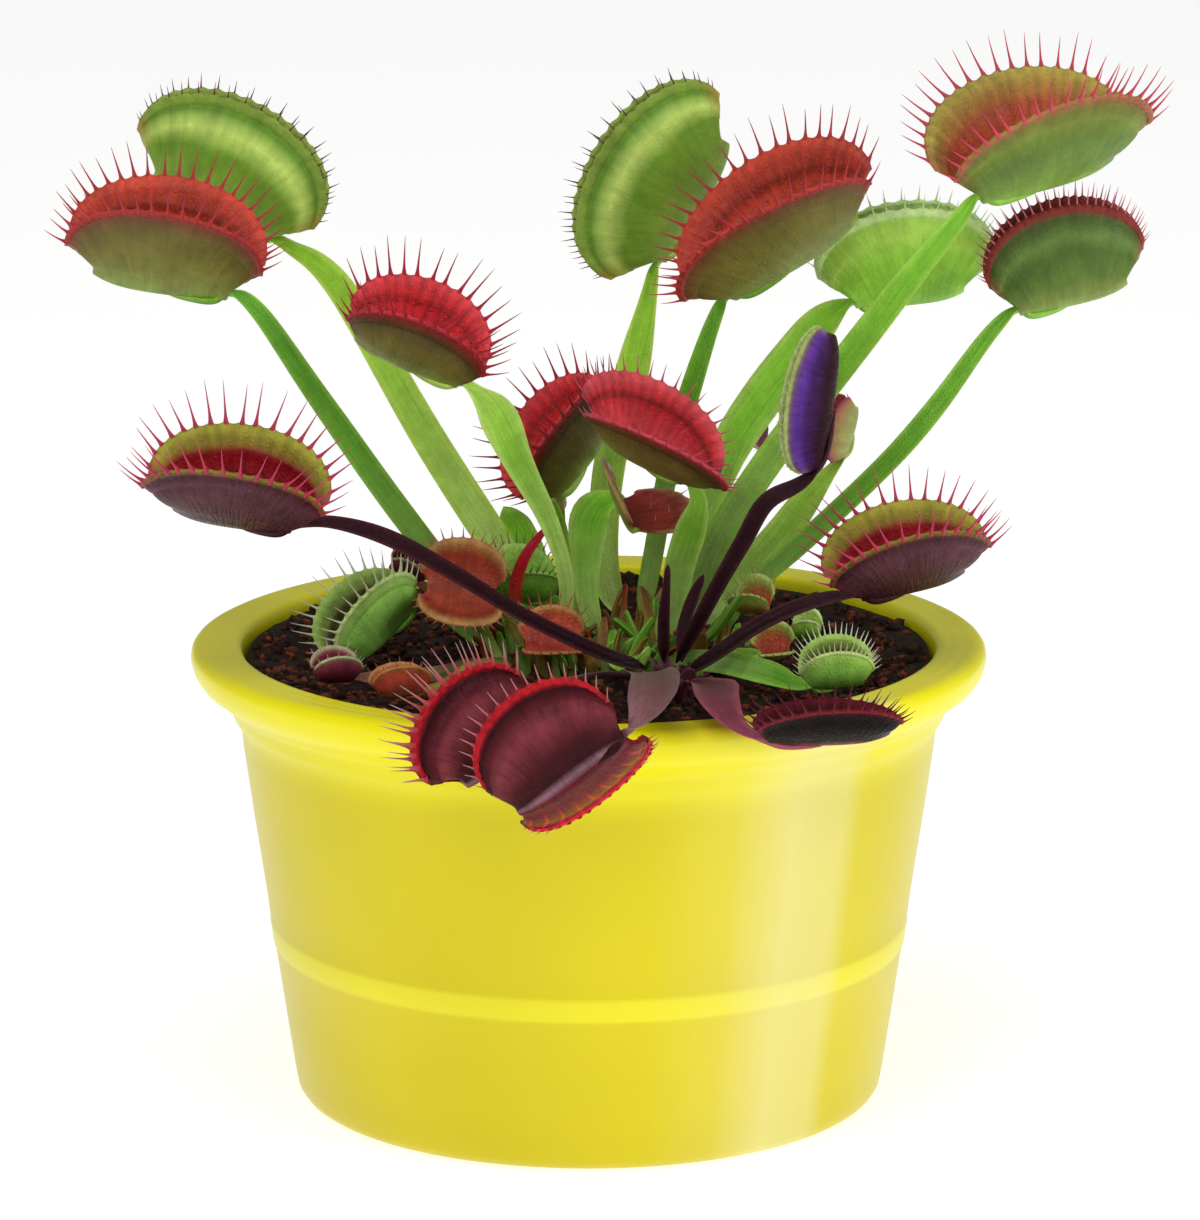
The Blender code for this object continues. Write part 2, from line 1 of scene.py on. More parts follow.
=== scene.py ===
import math
import random

import bmesh
import bpy
from mathutils import Matrix, Vector, noise


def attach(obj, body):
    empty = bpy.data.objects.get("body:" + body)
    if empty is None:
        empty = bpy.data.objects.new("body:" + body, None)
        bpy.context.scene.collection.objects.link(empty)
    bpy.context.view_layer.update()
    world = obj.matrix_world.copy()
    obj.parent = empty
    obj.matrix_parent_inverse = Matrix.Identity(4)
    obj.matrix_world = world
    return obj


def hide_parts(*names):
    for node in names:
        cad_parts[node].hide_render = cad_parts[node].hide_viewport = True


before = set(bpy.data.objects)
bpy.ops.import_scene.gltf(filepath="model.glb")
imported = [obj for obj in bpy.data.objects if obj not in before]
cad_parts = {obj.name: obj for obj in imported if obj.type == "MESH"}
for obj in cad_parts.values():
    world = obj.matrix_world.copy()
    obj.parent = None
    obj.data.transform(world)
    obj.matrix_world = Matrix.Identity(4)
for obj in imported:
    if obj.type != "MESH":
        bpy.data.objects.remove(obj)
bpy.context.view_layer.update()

MM = 0.001

# ---------------------------------------------------------------- sizes

# Pot: radius and height of the outer wall from the foot to the lip, then the inner wall back down.
POT_OUTER = [
    (40.0, 0.0), (42.0, 0.0), (43.0, 0.15), (43.8, 0.7), (44.5, 1.8), (44.9, 4.0), (46.3, 13.5), (47.8, 23.6),
    (48.05, 24.0), (48.5, 27.2), (48.45, 27.7), (49.0, 32.0),
    (50.9, 44.8), (52.2, 54.2), (52.5, 57.0), (52.8, 58.2), (53.5, 59.1), (53.9, 59.9), (54.2, 61.0),
    (54.6, 61.9), (55.3, 62.6), (56.9, 63.6), (58.7, 65.0), (59.6, 66.4), (60.0, 68.0), (59.85, 69.0),
    (59.4, 69.6), (58.7, 69.95),
]
POT_LIP = [
    (57.8, 70.0), (57.1, 69.98), (56.7, 69.92), (56.2, 69.96), (55.0, 69.96), (54.6, 69.9), (54.2, 69.94),
    (53.3, 69.95),
]
POT_INNER = [
    (52.7, 69.75), (52.3, 69.2), (52.1, 68.2), (51.4, 62.0), (50.8, 57.0), (49.2, 44.8), (46.5, 27.0),
    (44.6, 13.0), (43.3, 3.6), (42.0, 2.2), (30.0, 2.2),
]
POT_STEPS = 144
POT_HEIGHT = 70.0
# Heights of the pale band and how softly it ends, then the painted sheen on the wall in radians from the
# front.
BAND = (24.15, 26.95)
BAND_FADE = 0.7
PAINTED_SHEEN = (0.18, 0.96)
DRAIN_RADIUS = 3.0
DRAIN_CIRCLE = 27.0
DRAIN_COUNT = 6

# Soil: height of its top, how much higher it is heaped at the wall, and its sides as radius and height.
SOIL_TOP = 65.0
SOIL_HEAP = 3.0
SOIL_SIDE = [(40.8, 2.6), (42.9, 4.0), (44.1, 13.0), (46.0, 27.0), (48.7, 44.8), (50.3, 57.0), (51.0, 63.9),
             (51.4, 66.8)]
# Crowns and tufts: x, y, the two radii and height.
CROWN_GREEN = (1.0, 11.0, 17.0, 13.0, 3.2)
CROWN_DARK = (12.0, -15.5, 6.0, 5.0, 2.2)
CROWN_TUFTS = [(17.0, 3.0, 9.0, 8.0, 1.0), (-9.0, 2.0, 7.0, 7.0, 1.0), (2.0, -4.0, 8.0, 5.0, 1.0)]
TUFT_STRAPS = 24
TUFT_RISE = 10.5
GOLDEN_TURN = 2.399963
CRUMB_REACH = 50.4

# Studio: camera place in metres, its tilt below level in degrees and its lens in mm.
CAMERA_PLACE = (0.0017, -0.931, 0.288)
CAMERA_TILT = 12.92
CAMERA_LENS = 186.9

# Leaves. path: x, y, z and half width of the stalk from the crown to the neck of the trap.
# rib: the way the midrib runs from the neck. mouth: the way the trap opens.
# size: midrib length, margin span, lobe height. gape: degrees between the lobes.
# bulge: how far each lobe swells, as a part of its height. face: the way the stalk's upper face looks.
# palette: its growth colours. fringe: how many bristles on a lobe and their length.
LEAVES = {
    "leaf_tall_left_back": dict(
        path=[(-7, 15, 69.6, 2), (-12, 19, 77, 2.6), (-24.5, 23, 96, 2.7), (-38, 26, 119, 2.2),
              (-46, 27, 125.4, 1.1), (-49, 27, 126.6, 0.8)],
        rib=(-0.88, 0.05, 0.47), mouth=(0.47, -0.15, 0.87), size=(20, 31, 18),
        gape=20, bulge=0.2, palette="pale_green", fringe=(19, 2.6)),
    "leaf_tall_left": dict(
        path=[(-12, 7, 69.2, 1.6), (-17.5, 6, 74, 1.8), (-27, 3, 87, 1.9), (-39, -2, 105.5, 1.8),
              (-48.5, -5.5, 120.6, 1.3), (-53, -6, 124.2, 0.8)],
        rib=(-0.99, 0, 0.14), mouth=(0.04, -0.12, 0.98), size=(20.5, 29.5, 17),
        gape=60, bulge=0.08, palette="olive_red", fringe=(21, 5.8)),
    "leaf_mid_left": dict(
        path=[(-4, 0.5, 69.2, 1.2), (-3.4, -4, 80, 1.2), (-6.2, -8, 90.5, 1.5), (-10.6, -11.5, 100, 2.3),
              (-13.4, -12.9, 106.8, 3), (-16.4, -13.8, 110.4, 1.2), (-18.6, -14, 112.2, 0.8)],
        rib=(-0.92, 0, 0.38), mouth=(0.38, -0.15, 0.91), size=(17, 22, 14),
        gape=80, bulge=0.12, palette="red", fringe=(16, 6.6)),
    "leaf_mid_centre": dict(
        path=[(-3.2, 15.5, 69.8, 1.2), (-3.4, 13.5, 77, 1.4), (-4.6, 10.5, 85, 1.3), (-5.6, 8, 90.2, 0.8)],
        rib=(0.6, 0.23, 0.77), mouth=(-0.78, -0.14, 0.62), size=(16, 22, 14.5),
        gape=87, bulge=0.08, palette="red", fringe=(17, 6.2)),
    "leaf_mid_right": dict(
        path=[(10.5, 1, 68.6, 1.6), (12.8, -2.2, 76, 2), (13.8, -4.5, 83, 2.3), (15.4, -6.8, 88.6, 2.4),
              (16.4, -8, 93, 1.3), (14.6, -8.4, 96.4, 0.8)],
        rib=(-0.86, -0.14, 0.49), mouth=(0.49, -0.21, 0.85), size=(15, 24.5, 13),
        gape=96, bulge=0.12, palette="red_banded", fringe=(18, 3.4)),
    "leaf_low_centre": dict(
        path=[(1.4, 4.4, 69.2, 1.5), (-0.2, 4.4, 75, 1.7), (-0.4, 4, 82.6, 2.6), (0.4, 4.4, 88.4, 3.3),
              (3, 4.2, 90.6, 1.6), (5, 2.6, 91.4, 0.7)],
        rib=(0.25, -0.8, -0.5), mouth=(0.62, -0.28, 0.76), size=(7.5, 10.5, 10.5),
        gape=106, bulge=0.08, palette="finger", fringe=(9, 2)),
    "leaf_tall_back": dict(
        path=[(4, 20, 69.2, 1.9), (2.2, 19.5, 80, 2.3), (3.2, 21, 93.2, 2.5), (6.8, 24, 107, 2.6),
              (9.2, 26, 118, 1.3), (10.4, 26.5, 123.2, 0.8)],
        rib=(0.52, 0.05, 0.85), mouth=(-0.85, -0.15, 0.52), size=(21, 33, 17.5),
        gape=20, bulge=0.2, palette="pale_green", fringe=(20, 2.6)),
    "leaf_tall_centre": dict(
        path=[(8, 14, 69.8, 1.4), (10.2, 10.5, 83, 1.6), (12, 9.5, 94, 1.6), (15.4, 7.2, 107, 1.6),
              (18.6, 5, 117.4, 1.2), (20.8, 4, 122, 0.8)],
        rib=(0.84, -0.13, 0.53), mouth=(-0.53, -0.16, 0.83), size=(23, 33.5, 17.5),
        gape=74, bulge=0.12, palette="olive_red", fringe=(21, 6)),
    "leaf_winged_right": dict(
        path=[(12.5, 17, 69.2, 1.8), (16, 15.5, 81.5, 2.2), (19, 16.5, 90, 2.7), (23, 18, 98.5, 3.2),
              (30, 19.5, 108, 3.3), (35.6, 20, 115, 2.6), (40.2, 20, 118.2, 0.8)],
        rib=(0.99, 0.08, 0.08), mouth=(-0.08, -0.2, 0.97), size=(17, 27.5, 15),
        gape=22, bulge=0.2, palette="lime", fringe=(17, 2.7)),
    "leaf_tallest_right": dict(
        path=[(15, 9.5, 68.8, 1.8), (18, 6, 80.8, 2.2), (26, 2, 95.6, 2.3), (36.2, -1, 110, 2.3),
              (46.4, -3, 124, 2.1), (54, -4, 133.6, 1.4), (57.6, -4, 138.4, 0.8)],
        rib=(0.92, 0.32, 0.2), mouth=(-0.24, -0.14, 0.96), size=(22, 31.8, 19),
        gape=75, bulge=0.12, palette="lime_red", fringe=(21, 6.4)),
    "leaf_far_right": dict(
        path=[(17.6, 15.5, 68.6, 1.4), (23, 18, 72.8, 1.5), (31, 18, 79.4, 1.6), (44.4, 15, 93, 1.6),
              (52.6, 13, 103, 1.6), (60.4, 11, 114.5, 1.2), (64.5, 10, 118.8, 0.8)],
        rib=(0.97, 0.05, 0.22), mouth=(-0.22, -0.2, 0.95), size=(17, 24, 15.4),
        gape=22, bulge=0.2, palette="deep_green", fringe=(28, 3)),
    "leaf_small_right_back": dict(
        path=[(12.5, 24, 68.4, 2), (19, 26.5, 70.6, 2.4), (27, 28, 76.8, 2.7), (33.4, 30.5, 84.6, 2.3),
              (37.6, 32, 89.4, 1), (39.4, 32, 91.6, 0.7)],
        rib=(0.25, 0.1, 0.96), mouth=(-0.9, -0.35, 0.25), size=(8, 10.5, 6),
        gape=50, bulge=0.15, palette="blush", fringe=(8, 1.8)),
    "leaf_bud_back": dict(
        path=[(9, 26, 68.2, 0.7), (16, 30, 76, 0.7), (23.5, 32, 86, 0.6), (27, 32, 93.4, 0.6)],
        rib=(0.1, 0.1, 0.98), mouth=(-0.9, -0.3, 0.1), size=(3, 4.4, 3.2),
        gape=60, bulge=0.1, palette="plum", fringe=(5, 1.1)),
    "leaf_olive_bud": dict(
        path=[(-1, 21, 69.2, 0.8), (-3.6, 22, 77.4, 1), (-4.4, 22.5, 82, 0.9), (-4.2, 22.5, 85.2, 0.6)],
        rib=(0.1, 0, 0.99), mouth=(-0.7, -0.7, 0.1), size=(3.6, 4.8, 3.2),
        gape=25, bulge=0.2, palette="finger"),
    "leaf_blade_left": dict(
        path=[(-6.5, 23, 68.3, 1.6), (-9, 24, 77, 2.6), (-11.5, 25, 82, 2.6), (-13.2, 25.5, 85, 0.6)],
        palette="lime"),
    "leaf_blade_front": dict(
        path=[(5.5, -2.6, 67.9, 1.4), (5.6, -7.2, 69.4, 2.2), (4.8, -11.4, 69.4, 2.2),
              (4.4, -14, 68.4, 0.8)], face=(0, -0.25, 1), palette="striped_green"),
    "leaf_blade_right": dict(
        path=[(16.2, 4.8, 67.6, 1.1), (19.2, -0.2, 72, 1.4), (21.4, -4.6, 76.2, 1.2),
              (22.6, -7, 78.4, 0.5)], face=(-0.2, -0.6, 0.8), palette="fresh_green"),
    "leaf_red_slender": dict(
        path=[(-7.6, 2, 68.6, 0.9), (-11, -1, 76, 1), (-9.8, -1.8, 82.6, 0.9), (-5.8, -0.6, 88, 0.4)],
        palette="scarlet"),
    "leaf_low_left": dict(
        path=[(-14.8, 4.4, 67.4, 1.4), (-19, 3.2, 71.6, 1.7), (-23.6, 1, 75, 1.3),
              (-26.4, -1.6, 75.8, 0.8)],
        rib=(-0.68, -0.38, -0.58), mouth=(-0.66, -0.18, 0.66), size=(13, 17, 10.8),
        gape=64, bulge=0.12, palette="fresh_green", fringe=(16, 4.2)),
    "leaf_low_left_red": dict(
        path=[(-8, -1.8, 67.8, 1.2), (-10.4, -3.2, 72, 1.4), (-12.4, -3.8, 75.8, 1.1),
              (-14.2, -4.2, 77.8, 0.7)],
        rib=(-0.96, -0.05, 0.12), mouth=(0.05, -0.8, 0.5), size=(10, 13, 8.2),
        gape=105, bulge=0.1, palette="salmon", fringe=(14, 2.6)),
    "leaf_low_front_red": dict(
        path=[(0.4, -2.6, 67.6, 1.2), (0.2, -6, 70, 1.4), (-0.2, -8, 71, 1), (-1.6, -8.8, 71.4, 0.7)],
        rib=(-0.95, -0.2, 0), mouth=(0.05, -0.62, 0.75), size=(8, 10.2, 6),
        gape=92, bulge=0.1, palette="rust", fringe=(11, 3)),
    "leaf_low_mid": dict(
        path=[(-6.6, 10.4, 69.4, 1), (-5.2, 10, 71.6, 1.1), (-5, 9.4, 73.6, 0.9), (-6.4, 8.6, 74.6, 0.7)],
        rib=(-0.94, -0.22, 0.05), mouth=(0, -0.22, 0.96), size=(8.6, 12, 8.4),
        gape=66, bulge=0.12, palette="striped_green", fringe=(17, 2.6)),
    "leaf_low_purple": dict(
        path=[(-15.4, 18, 67.2, 1.2), (-21, 19.5, 71, 1.3), (-26.8, 19.5, 74.6, 0.6)],
        rib=(-0.8, -0.2, 0.55), mouth=(0.3, -0.35, 0.87), size=(4.6, 6.4, 4.6),
        gape=50, bulge=0.1, palette="plum", fringe=(9, 2.2)),
    "leaf_low_far_left": dict(
        path=[(-15.4, 0.2, 66.8, 1.1), (-21.5, -13, 67.8, 1.2), (-29.5, -21.5, 69.2, 1.1),
              (-34.6, -24.4, 69.8, 0.6)],
        rib=(-0.9, -0.3, 0.05), mouth=(0, -0.1, 0.99), size=(5.4, 7.4, 5),
        gape=50, bulge=0.15, palette="plum", fringe=(8, 1.5)),
    "leaf_low_brown": dict(
        path=[(-11, -2.6, 66.9, 1.1), (-17, -14, 68.8, 1.3), (-20, -25, 69.4, 1.1),
              (-22, -30.4, 69.8, 0.8), (-24.2, -32.4, 69.9, 0.6)],
        rib=(-0.95, -0.25, -0.04), mouth=(-0.1, 0.1, 0.98), size=(6.5, 9, 5),
        gape=54, bulge=0.15, palette="rust", fringe=(8, 1.3)),
    "leaf_low_right_back": dict(
        path=[(17.9, 8.6, 67.4, 1.2), (20.8, 5.6, 71.6, 1.3), (23.2, 4, 73.6, 0.7)],
        rib=(0.62, -0.32, 0.12), mouth=(0, -0.3, 0.95), size=(4.4, 6.4, 5.4),
        gape=66, bulge=0.15, palette="yellow_red", fringe=(10, 1.8)),
    "leaf_low_right": dict(
        path=[(15.8, -1.6, 67, 1.1), (21.5, -6.4, 68.8, 1.2), (25.4, -8.6, 69.8, 0.7)],
        rib=(0.98, -0.1, 0.12), mouth=(0, -0.6, 0.8), size=(4.6, 6.6, 4.8),
        gape=80, bulge=0.15, palette="yellow_red", fringe=(10, 1.3)),
    "leaf_low_pale": dict(
        path=[(19.5, 10.6, 66.8, 1), (27, 3.6, 69.2, 1), (31.6, 0.4, 70.4, 0.6)],
        rib=(0.95, -0.2, 0.1), mouth=(0, -0.3, 0.95), size=(3.2, 4.6, 4.2),
        gape=46, bulge=0.15, palette="lime", fringe=(6, 0.8)),
    "leaf_low_far_right": dict(
        path=[(11.2, -3.6, 67.6, 1.4), (19.5, -11.5, 69.2, 1.8), (26.6, -20.6, 69.6, 1.9),
              (30.2, -24.2, 69, 1.2), (32.8, -25, 68.8, 0.8)],
        rib=(0.98, 0.06, 0.06), mouth=(-0.05, -0.15, 0.98), size=(7.6, 11, 7.4),
        gape=46, bulge=0.15, palette="fresh_green", fringe=(22, 2.3)),
    "dark_leaf_left": dict(
        path=[(8.6, -15.8, 69.2, 1), (1.6, -18, 72.2, 1.1), (-9.5, -19, 78, 1.1), (-20.4, -20, 85, 1.2),
              (-30, -21, 90.4, 1.3), (-38.2, -22, 92.8, 1), (-43.2, -22, 92.2, 0.7)],
        rib=(-0.99, 0.07, 0.13), mouth=(0.13, -0.22, 0.97), size=(18, 27, 14.5),
        gape=67, bulge=0.12, palette="dark", fringe=(18, 6.8)),
    "dark_leaf_upright": dict(
        path=[(12.9, -14.3, 69.4, 0.9), (16.4, -15.6, 76.4, 1.1), (19.6, -16, 82.6, 1.2),
              (22.8, -16, 88.4, 1.3), (26.2, -16.8, 94.6, 1.4), (30.8, -17, 97.2, 1.1),
              (33.6, -17, 99.6, 0.7)],
        rib=(0.15, 0, 0.98), mouth=(-0.95, -0.3, 0.12), size=(20.5, 22, 7.4),
        gape=20, bulge=0.18, palette="violet", fringe=(22, 0.9)),
    "dark_leaf_right": dict(
        path=[(14.6, -16.6, 68.8, 0.9), (19, -17, 71.8, 1.1), (26, -17, 76.6, 1.2),
              (33.6, -17, 79.8, 1.1), (40, -17, 80.8, 0.7)],
        rib=(0.97, 0.1, 0.2), mouth=(-0.2, -0.1, 0.97), size=(16, 24.5, 13.5),
        gape=75, bulge=0.12, palette="dark", fringe=(18, 6.2)),
    "dark_leaf_front_left": dict(
        path=[(8.8, -18.2, 68.2, 0.7), (3.4, -30, 72, 1.1), (-1.2, -46, 75.4, 1.2), (-5, -57, 77, 1),
              (-7, -61.4, 76, 0.8), (-8.4, -62.6, 73.8, 0.7)],
        rib=(-0.64, -0.35, -0.69), mouth=(-0.74, 0.1, 0.6), size=(13.6, 20, 12.2),
        gape=24, bulge=0.2, face=(-0.2, 0.1, 1), palette="maroon", fringe=(15, 5)),
    "dark_leaf_front": dict(
        path=[(11, -19.8, 68.2, 1.4), (8.6, -31, 71.8, 2.6), (8.2, -46, 76.4, 3.4),
              (9.4, -60, 79.2, 3.5), (9.2, -71, 80, 3.5), (8.2, -77.4, 78.8, 2.8),
              (6.8, -79.8, 77.2, 1.5), (5, -80.4, 75.4, 0.8)],
        rib=(-0.78, 0.02, -0.62), mouth=(-0.32, 0.86, 0.39), size=(18.6, 21.6, 14.2),
        gape=116, bulge=0.14, face=(0, -0.5, 0.87), palette="maroon", fringe=(19, 3)),
    "dark_leaf_front_right": dict(
        path=[(15, -18.6, 68.2, 1.2), (17, -30, 70.8, 2.4), (18.2, -43, 73.6, 3.3),
              (18.4, -54, 74.4, 3.2), (20.2, -61, 72.8, 2), (22.4, -63.3, 71.4, 1.1),
              (25, -64.2, 70.5, 0.7)],
        rib=(1, 0.12, 0), mouth=(0, 0.08, 0.99), size=(18, 21, 7.2),
        gape=80, bulge=0.12, face=(0, -0.5, 0.87), palette="crimson", fringe=(17, 3.2)),
    "dark_leaf_bud": dict(
        path=[(11.2, -13.2, 69.4, 1), (11.2, -12.6, 76, 0.9), (11.6, -12.6, 81, 0.6),
              (11.8, -12.8, 84.4, 0.4)], palette="dark"),
    "dark_leaf_slender": dict(
        path=[(13.9, -12.3, 69.2, 0.8), (14, -10, 73.6, 0.9), (15.6, -9, 78.5, 0.9), (17.2, -9, 82, 0.4)],
        palette="dark"),
}

# Growth colours of a leaf, with the painted light noted below. back, lining: a lobe from the midrib to the
# toothed edge.
# spine: a bristle from root to tip. stalk: from the crown to the trap along the middle. wing: the stalk's
# thin edges.
# horn: the two pointed corners of each lobe. keel: the stalk's end under the trap.
# rib: a painted highlight, a pale glint line beside the midrib, on rib_side. under: the back of the lobe on
# under_side, if it differs.
# fold_shade: how dark the painted shade in the lining's folds is. foot: how broad a bristle's foot is, 1 as a
# rule.
PALETTES = {
    # pale_green: the back's fourth stop, a light band, is a painted highlight along the lobe's raised seam.
    "pale_green": dict(
        back="#7E9034 #76962E #689026 #BCD468 #5E8A26 #7C9838",
        lining="#A8A848 #A8904A #A88448 #98A044 #8CA444 #94A84C", spine="#6A3A30 #4A1420", horn="#A8883C",
        stalk="#CCE090 #9CCC50 #8CC446 #98BC4C", wing="#BCDC6C"),
    "olive_red": dict(
        back="#849040 #76792F #6E672C #665A28 #6E4426 #8E2426",
        lining="#74160C #A42E1A #B83E28 #80220F #B03824 #CA4A36", spine="#B03430 #A02244", horn="#8E3430",
        stalk="#B4CC80 #6CA440 #62A03C #7CA044", wing="#8CBC54"),
    "red": dict(
        back="#869440 #747030 #685C2A #48381E #7A2C22 #941C28",
        lining="#6E080E #A01119 #BC1A20 #921016 #C0242A #D24046", spine="#A81E30 #80142C", horn="#941C2C",
        fold_shade=0.16, stalk="#C0D888 #90C450 #B4D868 #B4D468", wing="#C8E884"),
    "red_banded": dict(
        back="#8E8A3C #84743A #78602E #4E3420 #7C3A2A #A8283A",
        lining="#7A0A12 #C83C42 #BC242C #7C0A12 #C42C32 #D6525A", spine="#C04050 #B85470", horn="#5A1424",
        fold_shade=0.14, stalk="#B8D084 #84B84A #90C252 #9CC858", wing="#B8DC74"),
    "lime": dict(
        back="#90C840 #8CC83C #98D044 #B4E05A #B0E05C #D8F4A4",
        lining="#B8C860 #C0B860 #B8CC68 #B0D470 #B4DC74 #CCEC96", spine="#C4E488 #D8ECB0", horn="#C0E080",
        foot=1.5, stalk="#C0DC88 #94D050 #98D452 #A8DC64", wing="#C0E47C"),
    "lime_red": dict(
        back="#7E9A40 #66842E #5C762C #74862E #74742C #985C38",
        lining="#8C2A20 #A83A28 #B04C30 #A85A34 #A47838 #AC9C46", spine="#C04850 #C82C5C", horn="#9C5040",
        stalk="#B4D084 #7CB444 #84BC4A #8CBC50", wing="#A0CC60"),
    "deep_green": dict(
        back="#8A9640 #5A742C #4C6626 #64803A #4C5C2C #802C24",
        lining="#8C3030 #7C4030 #70502C #6A4A2C #74402C #94403C", spine="#B45058 #D0809A", horn="#A03C34",
        stalk="#B0CC80 #78B448 #80BC4C #8CBC54", wing="#A4D068"),
    "fresh_green": dict(
        back="#84B84C #84BC4E #90C858 #9CD05C #A8D468 #CCE890",
        lining="#34301A #3A3418 #443E1E #5A5A28 #7C9440 #A8CC64", spine="#C8DCA0 #E0DCD0", horn="#A8CC60",
        stalk="#B8D488 #74B044 #78B046 #84B44C", wing="#9CCC60"),
    "striped_green": dict(
        back="#6CB038 #74B83C #80C044 #90CC4C #90CC4C #B0E070",
        lining="#8A7838 #90A044 #8CBC4C #94C450 #9CCC58 #A8D468", spine="#6A8438 #4A5A2C", horn="#A0CC60",
        stalk="#B8D488 #80B848 #84BC4C #90C254", wing="#A8D468"),
    "yellow_red": dict(
        back="#A85C38 #B0783E #A0A044 #A4B84C #A8C054 #BCD070",
        lining="#A83C2C #B8543A #B87844 #A8A04C #A8B854 #BCD070", spine="#A89460 #A05A4C", horn="#B0B458",
        stalk="#B8D084 #80B448 #88B84C #94B850", wing="#A4CC64"),
    "rust": dict(
        back="#8C5A38 #A04A34 #A84030 #A83E30 #A0502E #A87440",
        lining="#94342A #B04638 #BC5844 #A8402E #A8502E #B08048", spine="#A85444 #A83040", horn="#98402E",
        stalk="#A8BC70 #8E9444 #98643C #98443A", wing="#A85444"),
    "finger": dict(
        back="#98A048 #8E8C40 #94823C #98903E #94A044 #A8B860",
        lining="#7C2A24 #90302A #983830 #8C342C #94483A #B07850", spine="#B08870 #C8A8A0", horn="#A86848",
        stalk="#C0DC88 #8CCC50 #88C84C #98D058", wing="#BCE078"),
    "salmon": dict(
        back="#B0483C #C85C50 #D46C5C #BC4C3E #B85C38 #C88850",
        lining="#98402C #A84A34 #A03C2C #94402C #A0603A #B88850", spine="#C07058 #B84A50", horn="#A8583C",
        stalk="#98B464 #86943C #987040 #A05844", wing="#A86048"),
    "blush": dict(
        back="#98A854 #A0A05A #A8985C #A87A54 #A06050 #984450",
        lining="#8A3038 #903840 #984840 #90383E #983C42 #A04450", spine="#A03C4C #842440", horn="#984048",
        stalk="#B8D484 #94BC50 #98B450 #A0A858", wing="#B0CC6C"),
    "plum": dict(
        back="#4E1A26 #642232 #702A3A #843848 #94485A #A8C088",
        lining="#4A0A14 #5E1420 #6E1C2A #70202E #843444 #B0A888", spine="#B08078 #C8A8A8", horn="#90485A",
        stalk="#86985A #7A5A44 #743844 #6A2C3A", wing="#946058"),
    "scarlet": dict(
        back="#A83038 " * 6, lining="#A83038 " * 6, spine="#B84050 #B84050", horn="#A83038",
        stalk="#98A850 #A84A3C #A82C34 #981C30", wing="#B44044"),
    "dark": dict(
        back="#3C1A20 #48242C #553038 #5A3440 #48202C #6C4C2C",
        lining="#4A060E #740A14 #860F18 #861820 #8C7C2E #A09A3A", spine="#B03048 #C4406C", horn="#8C3040",
        stalk="#1C0A0C #2C1016 #361822 #42202A", wing="#50282F"),
    # maroon: the back's third stop, a lighter mauve, is a painted sheen across the middle of the lobe.
    "maroon": dict(
        back="#240409 #420F17 #7A3239 #521720 #28050B #AC1420",
        lining="#3E0810 #5E101A #74141E #74141E #8C1A24 #A01E28", spine="#A81420 #B89898", horn="#4A0C18",
        rib="#C090A0", rib_side=-1.0, fold_shade=0.14, foot=1.4, keel="#30080F",
        under="#58091A #640A1C #6C0C20 #740E22 #7C1026 #CC2034", under_side=1.0,
        stalk="#2A1216 #74484C #906468 #7C5056", wing="#7C5E62"),
    "violet": dict(
        back="#240810 #2A0A16 #44205C #5E3498 #6E4A70 #9CAC5C",
        lining="#4A1424 #6A1C2C #6A3A3A #6A4A3A #94A050 #B4C880", spine="#A8B860 #B8B880", horn="#B0A868",
        stalk="#1C0A0C #280E14 #2E121C #3C1824", wing="#46242E"),
    "crimson": dict(
        back="#070202 #0A0304 #0D0305 #120408 #200609 #7A1022",
        lining="#140306 #200509 #2C060C #3A0810 #4A0A16 #5A0C1E", spine="#640E20 #200A10", horn="#7A2C50",
        fold_shade=0.2, stalk="#3A1A24 #7A3A4C #92485A #A8485C", wing="#A85464"),
}

# Where the colours of a lobe's back and lining lie, 0 at the midrib and 1 at the edge.
BACK_PLACES = (0.0, 0.3, 0.6, 0.77, 0.88, 0.98)
LINING_PLACES = (0.0, 0.4, 0.66, 0.73, 0.82, 0.97)
# Painted shade in the lining's folds, where a palette gives none.
PLAIN_FOLD_SHADE = 0.08

# Stalk face of a leaf that gives none.
PLAIN_FACE = (0.0, -1.0, 0.35)
# Gapes in degrees: the lobes lie together below the first, and the lining shows above the second.
SHUT_GAPE = 40.0
OPEN_GAPE = 50.0
# Lobes higher than this, in mm, get the finer mesh.
BIG_LOBE = 9.0
# Shares of a turn round a trap's wall: across one face, and over one toothed edge.
FACE_TURN = 0.46
EDGE_TURN = 0.04
# The stalk's end under a trap: places along the midrib and half widths.
KEEL = ((0.12, 0.95), (0.27, 0.85), (0.45, 0.25))
SLIM_KEEL = ((0.12, 0.95), (0.27, 0.425), (0.45, 0.125))
# Order of a leaf's materials.
BACK, LINING, STALK, BRISTLE = range(4)


# ---------------------------------------------------------------- colours and nodes

def linear(code):
    """An sRGB hex colour as linear red, green and blue."""
    out = []
    for i in (1, 3, 5):
        c = int(code[i:i + 2], 16) / 255.0
        out.append(c / 12.92 if c <= 0.04045 else ((c + 0.055) / 1.055) ** 2.4)
    return Vector(out)


def blend_stops(stops, x, places=None):
    """A colour from stops, x from 0 to 1. places are the stops' own x, or they are evenly spaced."""
    places = places or [i / (len(stops) - 1) for i in range(len(stops))]
    if x <= places[0]:
        return stops[0]
    for low, high, p0, p1 in zip(stops, stops[1:], places, places[1:]):
        if x <= p1:
            return low.lerp(high, (x - p0) / (p1 - p0))
    return stops[-1]


def smooth(low, high, x):
    """0 below low, 1 above high, smooth between."""
    f = min(max((x - low) / (high - low), 0.0), 1.0)
    return f * f * (3.0 - 2.0 * f)


def bell(x, width):
    """1 at 0, falling away on both sides."""
    return math.exp(-(x / width) ** 2)


